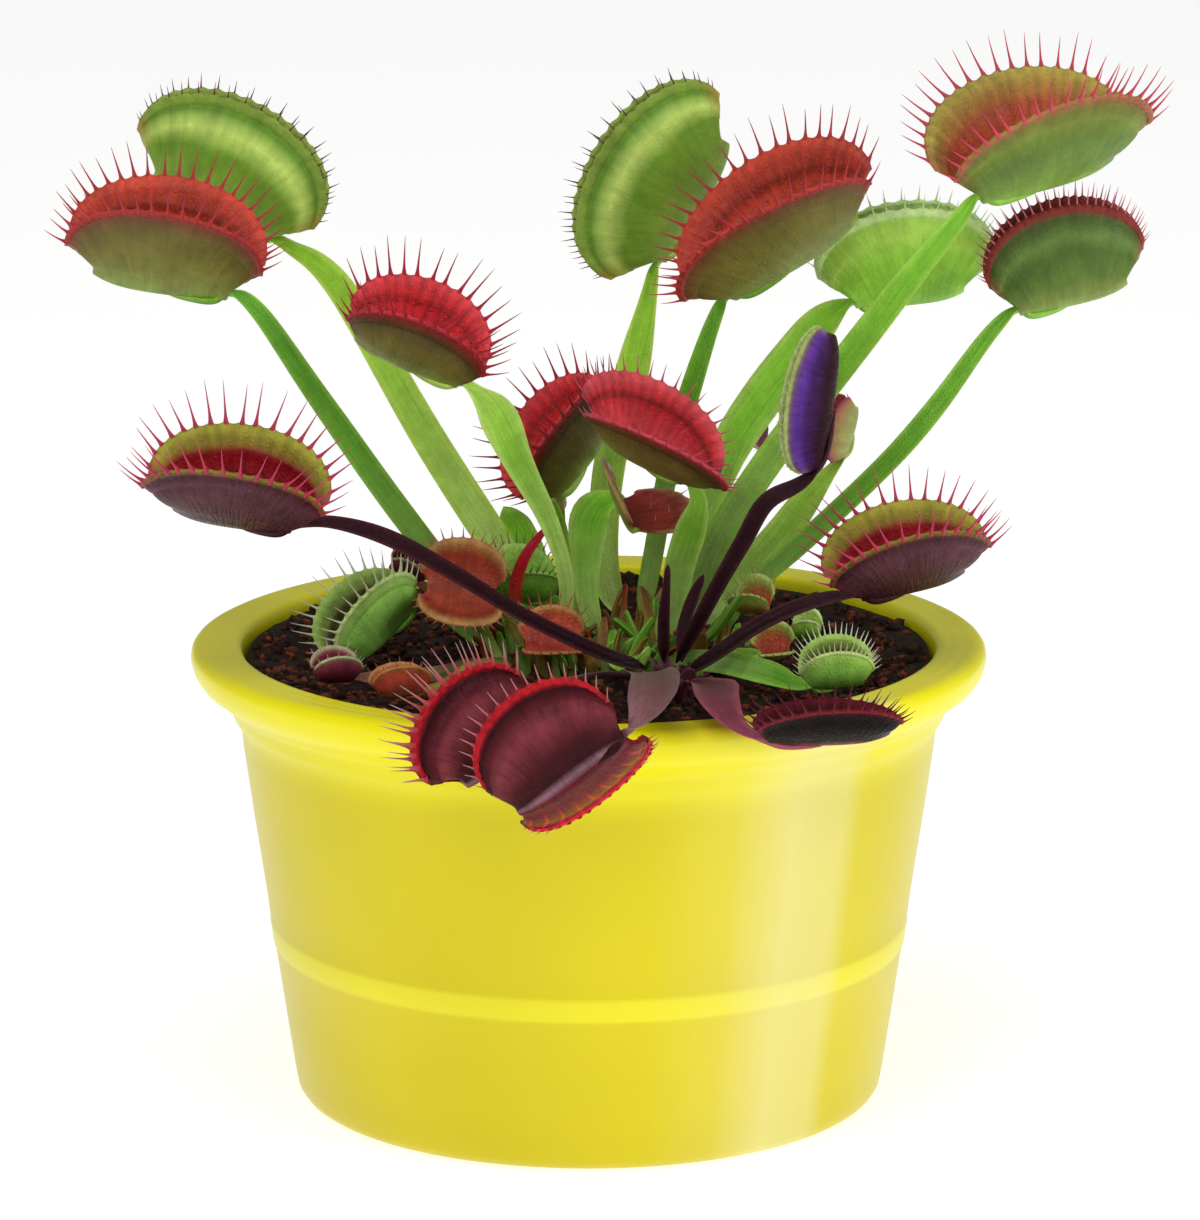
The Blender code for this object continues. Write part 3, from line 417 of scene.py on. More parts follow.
def add(tree, kind, attrs=None, values=None, links=None):
    """Adds a shader node with its settings, socket values and links."""
    made = tree.nodes.new("ShaderNode" + kind)
    for key, value in (attrs or {}).items():
        setattr(made, key, value)
    for key, value in (values or {}).items():
        made.inputs[key].default_value = value
    for key, source in (links or {}).items():
        tree.links.new(source, made.inputs[key])
    return made


def new_material(name, **values):
    """A material with one Principled shader, its plain sockets set by name."""
    mat = bpy.data.materials.new(name)
    mat.use_nodes = True
    shader = mat.node_tree.nodes["Principled BSDF"]
    for key, value in values.items():
        shader.inputs[key.replace("_", " ")].default_value = value
    return mat, mat.node_tree, shader


def plant_skin(name, vein_mm, vein_depth, gland_mm, gland_gain, bump_mm, vivid=1.0, **values):
    """Plant tissue: its growth colour with the painted light in it, veins running across, mottling and tiny
    glands.

    vivid raises the colour's saturation, gland_gain lightens the glands.
    """
    mat, tree, shader = new_material(name, **values)
    tint = add(tree, "Attribute", {"attribute_name": "tint"})
    skin = add(tree, "Attribute", {"attribute_name": "skin"})
    spot = add(tree, "TexCoord")
    stretch = add(tree, "Mapping", None, {"Scale": (1.0 / vein_mm, 0.11 / vein_mm, 1.0)},
                  {"Vector": skin.outputs["Vector"]})
    vein = add(tree, "TexNoise", None, {"Scale": 1.0, "Detail": 3.0, "Roughness": 0.6},
               {"Vector": stretch.outputs["Vector"]})
    mottle = add(tree, "TexNoise", None, {"Scale": 420.0, "Detail": 5.0, "Roughness": 0.65},
                 {"Vector": spot.outputs["Object"]})
    gland = add(tree, "TexVoronoi", None, {"Scale": 1.0 / (gland_mm * MM), "Randomness": 0.85},
                {"Vector": spot.outputs["Object"]})
    dots = add(tree, "MapRange", None,
               {"From Min": 0.12, "From Max": 0.38, "To Min": 1.0, "To Max": 0.0},
               {"Value": gland.outputs["Distance"]})
    both = add(tree, "Math", {"operation": "ADD"}, None,
               {0: vein.outputs["Fac"], 1: mottle.outputs["Fac"]})
    shade = add(tree, "MapRange", None,
                {"From Min": 0.70, "From Max": 1.30, "To Min": 1.0 - vein_depth, "To Max": 1.0 + vein_depth},
                {"Value": both.outputs["Value"]})
    glow = add(tree, "Math", {"operation": "MULTIPLY_ADD"}, {1: gland_gain},
               {0: dots.outputs["Result"], 2: shade.outputs["Result"]})
    fresh = add(tree, "HueSaturation", None, {"Saturation": vivid}, {"Color": tint.outputs["Color"]})
    toned = add(tree, "VectorMath", {"operation": "SCALE"}, None,
                {0: fresh.outputs["Color"], "Scale": glow.outputs["Value"]})
    height = add(tree, "Math", {"operation": "MULTIPLY_ADD"}, {1: 0.4},
                 {0: dots.outputs["Result"], 2: both.outputs["Value"]})
    bump = add(tree, "Bump", None, {"Strength": 0.6, "Distance": bump_mm * MM},
               {"Height": height.outputs["Value"]})
    tree.links.new(toned.outputs["Vector"], shader.inputs["Base Color"])
    tree.links.new(bump.outputs["Normal"], shader.inputs["Normal"])
    return mat


def tissue_materials():
    """The plant's finishes. Living tissue: IOR about 1.4, waxy outside, velvety and gland-dotted inside."""
    wet = {"IOR": 1.38, "Specular_IOR_Level": 0.3, "Subsurface_Weight": 0.12,
           "Subsurface_Radius": (1.0, 0.7, 0.3), "Subsurface_Scale": 0.0012}
    deep = {"IOR": 1.38, "Specular_IOR_Level": 0.14, "Subsurface_Weight": 0.05, "Subsurface_Scale": 0.0008}
    return {
        # Waxy leaf blade and stalk: fine ribs along it, a soft sheen.
        "green_stalk": plant_skin("waxy_leaf_stalk", vein_mm=0.8, vein_depth=0.20, gland_mm=0.5,
                                  gland_gain=0.05, bump_mm=0.25, vivid=1.08, Roughness=0.38, **wet),
        # Back of a lobe: leathery, faint veins to the edge, pin-point pores.
        "green_back": plant_skin("leathery_trap_back", vein_mm=1.3, vein_depth=0.20, gland_mm=0.55,
                                 gland_gain=0.10, bump_mm=0.3, Roughness=0.44, **wet),
        # Lining of a lobe: crowded red glands that glisten a little.
        "green_lining": plant_skin("glandular_trap_lining", vein_mm=1.1, vein_depth=0.28, gland_mm=0.7,
                                   gland_gain=0.2, bump_mm=0.45, Roughness=0.32, **wet),
        # Bristles: smooth, stiff, slightly see-through spines.
        "bristle": plant_skin("smooth_trap_bristle", vein_mm=0.6, vein_depth=0.05, gland_mm=0.9,
                              gland_gain=0.0, bump_mm=0.05, Roughness=0.35, **wet),
        # The dark plant's stalks: anthocyanin-dark, glossier.
        "dark_stalk": plant_skin("dark_waxy_stalk", vein_mm=0.8, vein_depth=0.22, gland_mm=0.5,
                                 gland_gain=0.06, bump_mm=0.25, Roughness=0.32, **deep),
        # The dark plant's traps: leathery and shiny with coarse pores outside, velvety inside.
        "dark_back": plant_skin("dark_leathery_trap_back", vein_mm=0.6, vein_depth=0.32, gland_mm=0.4,
                                gland_gain=0.14, bump_mm=0.4, Roughness=0.28, **deep),
        "dark_lining": plant_skin("dark_velvet_lining", vein_mm=1.1, vein_depth=0.26, gland_mm=0.7,
                                  gland_gain=0.22, bump_mm=0.45, Roughness=0.36, **deep),
    }


# ---------------------------------------------------------------- growing shapes

def start_growth():
    """An empty bmesh with its colour and skin layers."""
    bm = bmesh.new()
    return bm, bm.verts.layers.float_color.new("tint"), bm.verts.layers.float_vector.new("skin")


def roll_grid(growth, rows, turns, place, slot):
    """Rolls a grid into a closed form. place gives point (mm), colour and skin place from (row, turn)."""
    bm, tint, skin = growth
    made = bmesh.ops.create_grid(bm, x_segments=rows, y_segments=turns, size=1.0)["verts"]
    for face in {f for vert in made for f in vert.link_faces}:
        mid = face.calc_center_median()
        face.material_index = slot(mid.x * 0.5 + 0.5, mid.y * 0.5 + 0.5)
        face.smooth = True
    for vert in made:
        point, shade, flat = place(vert.co.x * 0.5 + 0.5, (vert.co.y * 0.5 + 0.5) % 1.0)
        vert.co = point * MM
        vert[tint] = (*shade, 1.0)
        vert[skin] = flat
    bmesh.ops.remove_doubles(bm, verts=made, dist=0.00001)


def smooth_path(points, u):
    """A point on the smooth curve through a list of points, u from 0 to 1."""
    count = len(points) - 1
    i = min(int(u * count), count - 1)
    f = u * count - i
    p1 = points[i]
    p2 = points[i + 1]
    p0 = points[i - 1] if i > 0 else [2 * a - b for a, b in zip(p1, p2)]
    p3 = points[i + 2] if i + 2 <= count else [2 * b - a for a, b in zip(p1, p2)]
    out = []
    for a, b, c, d in zip(p0, p1, p2, p3):
        out.append(0.5 * (2 * b + (c - a) * f + (2 * a - 5 * b + 4 * c - d) * f * f
                          + (3 * b - a - 3 * c + d) * f * f * f))
    return out


def trap_frame(leaf):
    """Midrib, mouth and side directions of a trap, square to each other."""
    rib = Vector(leaf["rib"]).normalized()
    mouth = Vector(leaf["mouth"])
    mouth = (mouth - rib * mouth.dot(rib)).normalized()
    return rib, mouth, rib.cross(mouth)


def lobe_form(leaf, s, reach):
    """Height up the lobe and how far it swells from flat, at s along the midrib."""
    height = leaf["size"][2]
    a = 2.0 * s - 1.0
    corner = 0.28
    edge = height * (corner + (1.0 - corner) * max(math.cos(a * math.pi / 2), 0.0) ** 0.8)
    # The edge has a small point under each bristle.
    comb = -math.cos(2 * math.pi * leaf["bristles"] * s) * smooth(0.0, 0.06, min(s, 1.0 - s))
    edge += 0.014 * height * comb * smooth(0.86, 1.0, reach)
    ends = 1.0 - 0.45 * a * a
    swell = leaf["bulge"] * height * math.sin(math.pi * reach ** 0.8) * ends
    # Three quarters up, a shut lobe has a raised seam and an open one a fold. Both turn out at the edge.
    closed = 1.0 - smooth(30.0, 56.0, leaf["gape"])
    ridge = 0.03 * bell(reach - 0.77, 0.045) - 0.03 * smooth(0.80, 0.92, reach)
    ridge += 0.04 * smooth(0.90, 1.0, reach)
    groove = 0.05 * smooth(0.88, 1.0, reach) ** 2 - 0.022 * bell(reach - 0.73, 0.04)
    swell += height * ends * (closed * ridge + (1.0 - closed) * groove)
    return edge * reach, swell


def trap_sheet(leaf, s, t):
    """A point of the trap's lining. s runs 0 to 1 along the midrib, t from -1 to 1 across both lobes."""
    rib, mouth, side = leaf["axes"]
    length, span, height = leaf["size"]
    a = 2.0 * s - 1.0
    reach = abs(t)
    up, swell = lobe_form(leaf, s, reach)
    # The toothed edge is longer than the midrib, and the lobes widen towards it.
    along = a * length / 2
    along += (span / 2 * math.sin(a * math.pi / 2) - along) * reach ** 1.5
    swell += noise.noise(leaf["neck"] + Vector((s * 2.2, t * 1.2, 0.0))) * 0.05 * height * reach * reach
    half = math.radians(leaf["gape"] if leaf["gape"] > SHUT_GAPE else 0.45 * leaf["gape"]) / 2
    out = up * math.sin(half) + swell * math.cos(half)
    rise = up * math.cos(half) - swell * math.sin(half)
    # The midrib bows away from the mouth, and its far end turns up.
    bow = 0.03 * length * (a * a - 1.0) + 0.07 * length * max(a, 0.0) ** 4 * (1.0 - 0.6 * reach)
    sign = 1.0 if t > 0 else -1.0
    return leaf["neck"] + rib * (length / 2 + along) + mouth * (rise + bow) + side * sign * out


def trap_normal(leaf, s, t):
    """The way the lining looks."""
    ds = trap_sheet(leaf, min(s + 0.01, 1.0), t) - trap_sheet(leaf, max(s - 0.01, 0.0), t)
    low, high = (t - 0.03, t) if t > 0.5 else (t, t + 0.03)
    dt = trap_sheet(leaf, s, high) - trap_sheet(leaf, s, low)
    if abs(t) < 0.1:
        dt = trap_sheet(leaf, s, 0.1) - trap_sheet(leaf, s, -0.1)
    return dt.cross(ds).normalized()


def wall_turn(turn):
    """Where a turn round the trap's wall is: t across the lobes, and depth 0 inside to 1 outside."""
    if turn < FACE_TURN:
        return crowd_edges(2.0 * turn / FACE_TURN - 1.0), 0.0
    if turn < 0.5:
        return 1.0, (turn - FACE_TURN) / EDGE_TURN
    if turn < 1.0 - EDGE_TURN:
        return -crowd_edges(2.0 * (turn - 0.5) / FACE_TURN - 1.0), 1.0
    return -1.0, (1.0 - turn) / EDGE_TURN


def crowd_edges(x):
    """Moves evenly spaced places from -1 to 1 closer together near the two ends."""
    return 0.4 * x + 0.6 * math.sin(x * math.pi / 2)


def wall_thickness(leaf, s, t):
    """Thickness of the trap's wall in mm: stout at the midrib, thin at the edge, nothing at the ends."""
    height = leaf["size"][2]
    thick = 0.3 + 0.02 * height
    thick += (0.035 * height + 0.35) * bell(t, 0.10) + 0.012 * height * bell(abs(t) - 1.0, 0.12)
    return thick * smooth(-0.002, 0.03, min(s, 1.0 - s))


def wall_shade(leaf, s, t, depth):
    """Colour of the trap's wall: its growth colour, with painted shade in the lining's folds and painted
    highlights on the back.
    """
    colours = leaf["colours"]
    folds = math.pi * leaf["bristles"] * s
    seed = leaf["neck"] * 0.37
    patch = 1.0 + 0.22 * noise.noise(seed + Vector((s * 5.0, t * 3.5, depth * 4.0)))
    shift = 0.10 * noise.noise(seed + Vector((s * 7.0, t * 2.0, 3.0 + depth)))
    reach = min(max(abs(t) + shift * (1.0 - abs(t)), 0.0), 1.0)
    inside = blend_stops(colours["lining"], reach, LINING_PLACES)
    # Painted shade: dark stripes in the lining's grooves, between the bristles.
    fold_shade = colours.get("fold_shade", PLAIN_FOLD_SHADE) * math.cos(2 * folds)
    inside = inside * (1.0 - fold_shade * smooth(0.2, 0.7, reach))
    outside = blend_stops(colours["back"], reach, BACK_PLACES)
    if t * colours.get("under_side", 0.0) > 0:
        streak = max(math.cos(folds), 0.0) ** 6 * smooth(0.15, 0.5, reach)
        outside = blend_stops(colours["under"], reach, BACK_PLACES).lerp(colours["under"][-1], 0.85 * streak)
    # Painted highlight: a pale glint line beside the midrib.
    if "rib" in colours:
        painted_glint = bell(t - 0.05 * colours["rib_side"], 0.009) * smooth(0.0, 0.25, s)
        outside = outside.lerp(colours["rib"], 0.9 * painted_glint)
    else:
        outside = outside.lerp(colours["stalk"][-1], 0.75 * bell(reach, 0.07))
    shade = inside.lerp(outside, depth) * patch
    corner = smooth(0.10, 0.0, min(s, 1.0 - s)) * smooth(0.45, 1.0, abs(t))
    return shade.lerp(colours["horn"], 0.75 * corner)


def grow_trap(growth, leaf):
    """The two lobes and midrib of a trap, one closed wall."""
    span, height = leaf["size"][1:]
    folds = leaf["bristles"]
    fine = height > BIG_LOBE

    def place(s, turn):
        t, depth = wall_turn(turn)
        normal = trap_normal(leaf, s, t)
        thick = wall_thickness(leaf, s, t)
        fold = -math.cos(2 * math.pi * folds * s) * smooth(0.3, 0.95, abs(t)) * (1.0 - depth)
        crease = 0.0022 * height * fold if folds else 0.0
        point = trap_sheet(leaf, s, t) - normal * (thick * depth - crease)
        if 0.0 < depth < 1.0:
            rim = trap_sheet(leaf, s, t) - trap_sheet(leaf, s, t * 0.95)
            point += rim.normalized() * 0.5 * thick * math.sin(math.pi * depth)
        return point, wall_shade(leaf, s, t, depth), ((s - 0.5) * span, t * height, 0.0)

    rows = max(4 * folds, 24) if fine else max(3 * folds, 18)
    roll_grid(growth, rows, 100 if fine else 50, place,
              lambda s, turn: LINING if wall_turn(turn)[1] < 0.5 else BACK)


def grow_spine(growth, root, way, bend, length, base, shaft, shades):
    """A stiff bristle: flared foot, thin curved shaft, sharp tip."""
    aside = bend if bend.cross(way).length > 0.05 else Vector((0.3, 0.9, 0.1))
    across = way.cross(aside).normalized()
    other = way.cross(across).normalized()

    def place(u, turn):
        angle = 2 * math.pi * turn
        radius = shaft * (1.0 - u) ** 0.8 + (base - shaft) * math.exp(-u / 0.09)
        spine = root + way * length * u + bend * length * 0.28 * u * u
        if u > 0.999:
            radius = 0.0
        point = spine + (across * math.cos(angle) + other * math.sin(angle)) * radius
        return point, blend_stops(shades, u), (angle, u * length, 0.0)

    roll_grid(growth, 6, 6, place, lambda u, turn: BRISTLE)


def grow_bristles(growth, leaf, rng):
    """The two rows of bristles along the toothed edges."""
    rib, mouth, side = leaf["axes"]
    count = leaf["bristles"]
    spacing = leaf["size"][1] / max(count, 1)
    for sign in (-1.0, 1.0):
        for i in range(count):
            s = (i + 0.5 + rng.uniform(-0.12, 0.12)) / count
            a = 2.0 * s - 1.0
            root = trap_sheet(leaf, s, sign) - trap_normal(leaf, s, sign) * wall_thickness(leaf, s, 1.0) * 0.5
            way = (trap_sheet(leaf, s, sign) - trap_sheet(leaf, s, sign * 0.9)).normalized()
            way = (way + rib * a * 0.55 + mouth * 0.25 + side * sign * leaf["splay"]).normalized()
            way += Vector((rng.uniform(-1, 1), rng.uniform(-1, 1), rng.uniform(-1, 1))) * 0.07
            length = leaf["bristle_mm"] * (1.0 - 0.35 * abs(a) ** 3) * rng.uniform(0.86, 1.1)
            base = min(0.42 * spacing, 0.16 + 0.1 * length) * leaf["colours"].get("foot", 1.0)
            bend = mouth * 0.6 - side * sign * 0.5 + rib * a * 0.3
            grow_spine(growth, root - way * 0.3, way.normalized(), bend, length, base,
                       min(0.25, 0.1 + 0.03 * length), leaf["colours"]["spine"])


def grow_hairs(growth, leaf):
    """The three trigger hairs on each lining."""
    for sign in (-1.0, 1.0):
        for s, t in ((0.36, 0.4), (0.64, 0.4), (0.5, 0.62)):
            root = trap_sheet(leaf, s, t * sign)
            grow_spine(growth, root, trap_normal(leaf, s, t * sign), leaf["axes"][1] * 0.3, 1.5, 0.16, 0.07,
                       leaf["colours"]["spine"])


def stalk_frame(leaf, points, u):
    """Middle of the stalk, the way across it, the way its upper face looks, and its half width."""
    here = smooth_path(points, u)
    tangent = Vector(smooth_path(points, min(u + 0.02, 1.0))[:3])
    tangent = (tangent - Vector(smooth_path(points, max(u - 0.02, 0.0))[:3])).normalized()
    face = Vector(leaf["face"])
    if "rib" in leaf:
        neck = (len(leaf["path"]) - 1) / (len(points) - 1)
        blend = smooth(neck - 0.09, neck + 0.02, u)
        mouth = leaf["axes"][1]
        face = face.lerp(mouth if mouth.dot(face) > -0.1 else -mouth, blend)
    width = tangent.cross(face).normalized()
    return Vector(here[:3]), width, width.cross(tangent), here[3]


def under_trap(leaf, points, u):
    """0 along the stalk, 1 where it runs on as a round keel under the trap."""
    neck = (len(leaf["path"]) - 1) / (len(points) - 1)
    return smooth(neck - 0.06, neck + 0.04, u) if "rib" in leaf else 0.0


def grow_stalk(growth, leaf, slot):
    """The winged stalk: a stout midvein with thin blades on both sides."""
    colours = leaf["colours"]
    points = list(leaf["path"])
    if "rib" in leaf:
        keel = SLIM_KEEL if "keel" in colours else KEEL
        for s, half in keel:
            under = trap_sheet(leaf, s, 0.0) - leaf["axes"][1] * 0.7 * wall_thickness(leaf, s, 0.0)
            points.append((*under, half * min(1.0, leaf["size"][2] / 12)))
    reach = sum((Vector(b[:3]) - Vector(a[:3])).length for a, b in zip(points, points[1:]))
    seed = Vector(points[0][:3])

    def place(u, turn):
        middle, width, face, half = stalk_frame(leaf, points, u)
        angle = 2 * math.pi * turn
        across = math.cos(angle)
        round_off = math.sqrt(max(1.0 - across * across, 0.0))
        ends = math.sqrt(max(1.0 - (1.0 - smooth(0.0, 0.05, min(u, 1.0 - u))) ** 2, 0.0))
        wave = 1.0 + 0.08 * noise.noise(seed + Vector((u * 9.0, 2.0 if across > 0 else 5.0, 0.0)))
        low = math.sin(angle) < 0
        # A thin blade on a stout midvein, which rounds out to a keel under the trap.
        body = 0.24 + min(0.45 * half, 0.75) * bell(across, 0.34) * (1.0 if low else 0.35)
        body += (0.75 * half - body) * under_trap(leaf, points, u) * round_off
        sag = 0.3 * half * (1.0 - across * across)
        point = middle + width * across * half * wave * ends - face * sag
        point += face * math.sin(angle) * body * ends
        shade = blend_stops(colours["stalk"], u).lerp(colours["wing"], smooth(0.45, 1.0, abs(across)) * 0.8)
        if "keel" in colours:
            shade = shade.lerp(colours["keel"], under_trap(leaf, points, u))
        patch = 1.0 + 0.18 * noise.noise(seed + Vector((u * 6.0, across * 1.5, 4.0)))
        # Painted shade: the stalk's underside is made 10% darker.
        return point, shade * patch * (0.9 if low else 1.0), (across * half * 2.0, u * reach, 0.0)

    roll_grid(growth, max(int(reach * 0.7), 14), 20, place, lambda u, turn: slot)


def finish_piece(name, growth, mats, levels=1):
    """Turns the growth into a finished object with its materials and a smoothing modifier."""
    bm = growth[0]
    bmesh.ops.recalc_face_normals(bm, faces=bm.faces)
    mesh = bpy.data.meshes.new(name)
    bm.to_mesh(mesh)
    bm.free()
    for mat in mats:
        mesh.materials.append(mat)
    obj = bpy.data.objects.new(name, mesh)
    bpy.context.scene.collection.objects.link(obj)
    if levels:
        soft = obj.modifiers.new("soften", "SUBSURF")
        soft.levels = levels
        soft.render_levels = levels
    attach(obj, "root")
    return obj


def mix_palette(name):
    """A palette with its hex colours made linear: a list where it has several, else one."""
    colours = dict(PALETTES[name])
    for part, value in colours.items():
        if isinstance(value, str):
            shades = [linear(code) for code in value.split()]
            colours[part] = shades if len(shades) > 1 else shades[0]
    return colours


def grow_leaf(node, mats):
    """One leaf: stalk, trap, bristles and trigger hairs."""
    leaf = {"face": PLAIN_FACE, "fringe": (0, 0.0), **LEAVES[node]}
    count, bristle = leaf["fringe"]
    leaf.update(colours=mix_palette(leaf["palette"]), bristles=count, bristle_mm=bristle,
                neck=Vector(leaf["path"][-1][:3]))
    rng = random.Random(node)
    growth = start_growth()
    kind = "dark" if node.startswith("dark") else "green"
    if "rib" in leaf:
        leaf["axes"] = trap_frame(leaf)
        leaf["splay"] = 0.12 if leaf["gape"] > OPEN_GAPE else 0.3
        grow_trap(growth, leaf)
        grow_bristles(growth, leaf, rng)
        if leaf["gape"] > OPEN_GAPE and leaf["size"][2] > BIG_LOBE:
            grow_hairs(growth, leaf)
    grow_stalk(growth, leaf, STALK)
    slots = [mats[kind + "_back"], mats[kind + "_lining"], mats[kind + "_stalk"], mats["bristle"]]
    obj = finish_piece(node + "_grown", growth, slots)
    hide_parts(node)


# ---------------------------------------------------------------- pot

def pot_plastic():
    """Thin moulded polypropylene: glossy yellow, lighter at the band, painted light up to the lip and a
    painted sheen right of the front.
    """
    mat, tree, shader = new_material("moulded_polypropylene", Roughness=0.32, IOR=1.49,
                                     Specular_IOR_Level=0.34)
    spot = add(tree, "TexCoord")
    split = add(tree, "SeparateXYZ", None, None, {"Vector": spot.outputs["Object"]})
    up = add(tree, "MapRange", None, {"From Min": 0.0, "From Max": POT_HEIGHT * MM},
             {"Value": split.outputs["Z"]})
    ramp = add(tree, "ValToRGB", None, None, {"Fac": up.outputs["Result"]})
    low, high = [edge / POT_HEIGHT for edge in BAND]
    fade = BAND_FADE / POT_HEIGHT
    # The yellow lightens up the flange to the lip: painted light where the flange top is lit.
    fill_ramp(ramp, [(0.0, "#D4C400"), (0.12, "#DACA00"), (low - fade, "#DCCC00"), (low, "#ECE21C"),
                     (high, "#ECE21C"), (high + fade, "#DCCC00"), (0.78, "#DED000"), (0.86, "#EEE404"),
                     (1.0, "#FCF20A")])
    cloud = add(tree, "TexNoise", None, {"Scale": 24.0, "Detail": 2.0},
                {"Vector": spot.outputs["Object"]})
    tone = add(tree, "MapRange", None,
               {"From Min": 0.3, "From Max": 0.7, "To Min": 0.95, "To Max": 1.04},
               {"Value": cloud.outputs["Fac"]})
    # Painted highlight: a pale upright sheen right of the front, in place of a reflection on the wall.
    front = add(tree, "Math", {"operation": "MULTIPLY"}, {1: -1.0}, {0: split.outputs["Y"]})
    angle = add(tree, "Math", {"operation": "ARCTAN2"}, None,
                {0: split.outputs["X"], 1: front.outputs["Value"]})
    across = add(tree, "MapRange", None, {"From Min": PAINTED_SHEEN[0], "From Max": PAINTED_SHEEN[1]},
                 {"Value": angle.outputs["Value"]})
    sheen_ramp = add(tree, "ValToRGB", None, None, {"Fac": across.outputs["Result"]})
    fill_ramp(sheen_ramp, [(0.0, "#000000"), (0.3, "#606060"), (0.55, "#C8C8C8"), (0.8, "#B0B0B0"),
                      (0.9, "#303030"), (1.0, "#000000")])
    sheen_mix = add(tree, "Mix", {"data_type": "RGBA"}, {7: (*linear("#EEE6A4"), 1.0)},
                {0: sheen_ramp.outputs["Color"], 6: ramp.outputs["Color"]})
    toned = add(tree, "VectorMath", {"operation": "SCALE"}, None,
                {0: sheen_mix.outputs[2], "Scale": tone.outputs["Result"]})
    peel = add(tree, "TexNoise", None, {"Scale": 260.0, "Detail": 2.0},
               {"Vector": spot.outputs["Object"]})
    bump = add(tree, "Bump", None, {"Strength": 0.25, "Distance": 0.0002},
               {"Height": peel.outputs["Fac"]})
    tree.links.new(toned.outputs["Vector"], shader.inputs["Base Color"])
    tree.links.new(bump.outputs["Normal"], shader.inputs["Normal"])
    return mat


def fill_ramp(node, stops):
    """Sets a colour ramp's stops."""
    ramp = node.color_ramp
    while len(ramp.elements) < len(stops):
        ramp.elements.new(0.5)
    for element, (place, code) in zip(ramp.elements, stops):
        element.position = place
        element.color = (*linear(code), 1.0)


def spin_profile(profile, steps):
    """A turned body from a profile of radius and height."""
    bm = bmesh.new()
    verts = [bm.verts.new((r * MM, 0.0, z * MM)) for r, z in profile]
    edges = [bm.edges.new(pair) for pair in zip(verts, verts[1:])]
    bmesh.ops.spin(bm, geom=verts + edges, axis=(0, 0, 1), cent=(0, 0, 0), steps=steps,
                   angle=2 * math.pi, use_merge=True)
    bmesh.ops.remove_doubles(bm, verts=bm.verts, dist=0.00001)
    rims = [e for e in bm.edges if e.is_boundary]
    if rims:
        bmesh.ops.holes_fill(bm, edges=rims, sides=0)
    bmesh.ops.recalc_face_normals(bm, faces=bm.faces)
    return bm


def drain_holes(pot):
    """Cuts the drain holes through the foot."""
    bm = bmesh.new()
    for index in range(DRAIN_COUNT):
        angle = 2 * math.pi * (index + 0.5) / DRAIN_COUNT
        spot = Vector((math.cos(angle), math.sin(angle), 0.0)) * DRAIN_CIRCLE * MM
        bmesh.ops.create_cone(bm, cap_ends=True, cap_tris=False, segments=32, radius1=DRAIN_RADIUS * MM,
                              radius2=DRAIN_RADIUS * MM, depth=0.012, matrix=Matrix.Translation(spot))
    mesh = bpy.data.meshes.new("drain_cutters")
    bm.to_mesh(mesh)
    bm.free()
    tool = bpy.data.objects.new("drain_cutters", mesh)
    bpy.context.scene.collection.objects.link(tool)
    cut = pot.modifiers.new("drain", "BOOLEAN")
    cut.operation = "DIFFERENCE"
    cut.solver = "EXACT"
    cut.object = tool
    apply_modifiers(pot)
    bpy.data.objects.remove(tool, do_unlink=True)


def apply_modifiers(obj):
    """Makes a piece's modifiers final."""
    graph = bpy.context.evaluated_depsgraph_get()
    made = bpy.data.meshes.new_from_object(obj.evaluated_get(graph))
    obj.modifiers.clear()
    obj.data = made


def make_pot():
    """The flanged pot."""
    bm = spin_profile(POT_OUTER + POT_LIP + POT_INNER, POT_STEPS)
    for face in bm.faces:
        face.smooth = len(face.verts) == 4
    pot = finish_piece("pot_moulded", (bm,), [pot_plastic()], 0)
    drain_holes(pot)
    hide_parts("pot")


# ---------------------------------------------------------------- soil

def soil_material(name, dark, light, rough):
    """Peat-based potting mix: matte fibres and crumbs from near black to red-brown."""
    mat, tree, shader = new_material(name, Roughness=rough, IOR=1.45)
    spot = add(tree, "TexCoord")
    crumb = add(tree, "TexNoise", None, {"Scale": 520.0, "Detail": 6.0, "Roughness": 0.7},
                {"Vector": spot.outputs["Object"]})
    ramp = add(tree, "ValToRGB", None, None, {"Fac": crumb.outputs["Fac"]})
    fill_ramp(ramp, [(0.35, dark), (0.56, blend_hex(dark, light, 0.35)), (0.72, light)])
    bump = add(tree, "Bump", None, {"Strength": 0.9, "Distance": 0.0008},
               {"Height": crumb.outputs["Fac"]})
    tree.links.new(ramp.outputs["Color"], shader.inputs["Base Color"])
    tree.links.new(bump.outputs["Normal"], shader.inputs["Normal"])
    return mat


def blend_hex(low, high, x):
    """A hex colour between two others."""
    parts = [int(low[i:i + 2], 16) * (1 - x) + int(high[i:i + 2], 16) * x for i in (1, 3, 5)]
    return "#%02X%02X%02X" % tuple(int(p) for p in parts)


def soil_height(x, y):
    """Height of the soil's lumpy top in mm."""
    spot = Vector((x, y, 0.0))
    lump = noise.fractal(spot * 0.16, 1.0, 2.1, 4) * 0.9 + noise.noise(spot * 0.9) * 0.45
    ring = math.hypot(x, y)
    heap = SOIL_HEAP * smooth(40.0, 50.0, ring)
    return SOIL_TOP + 0.1 + heap + lump * (0.35 + 0.65 * smooth(51.6, 46.0, ring))


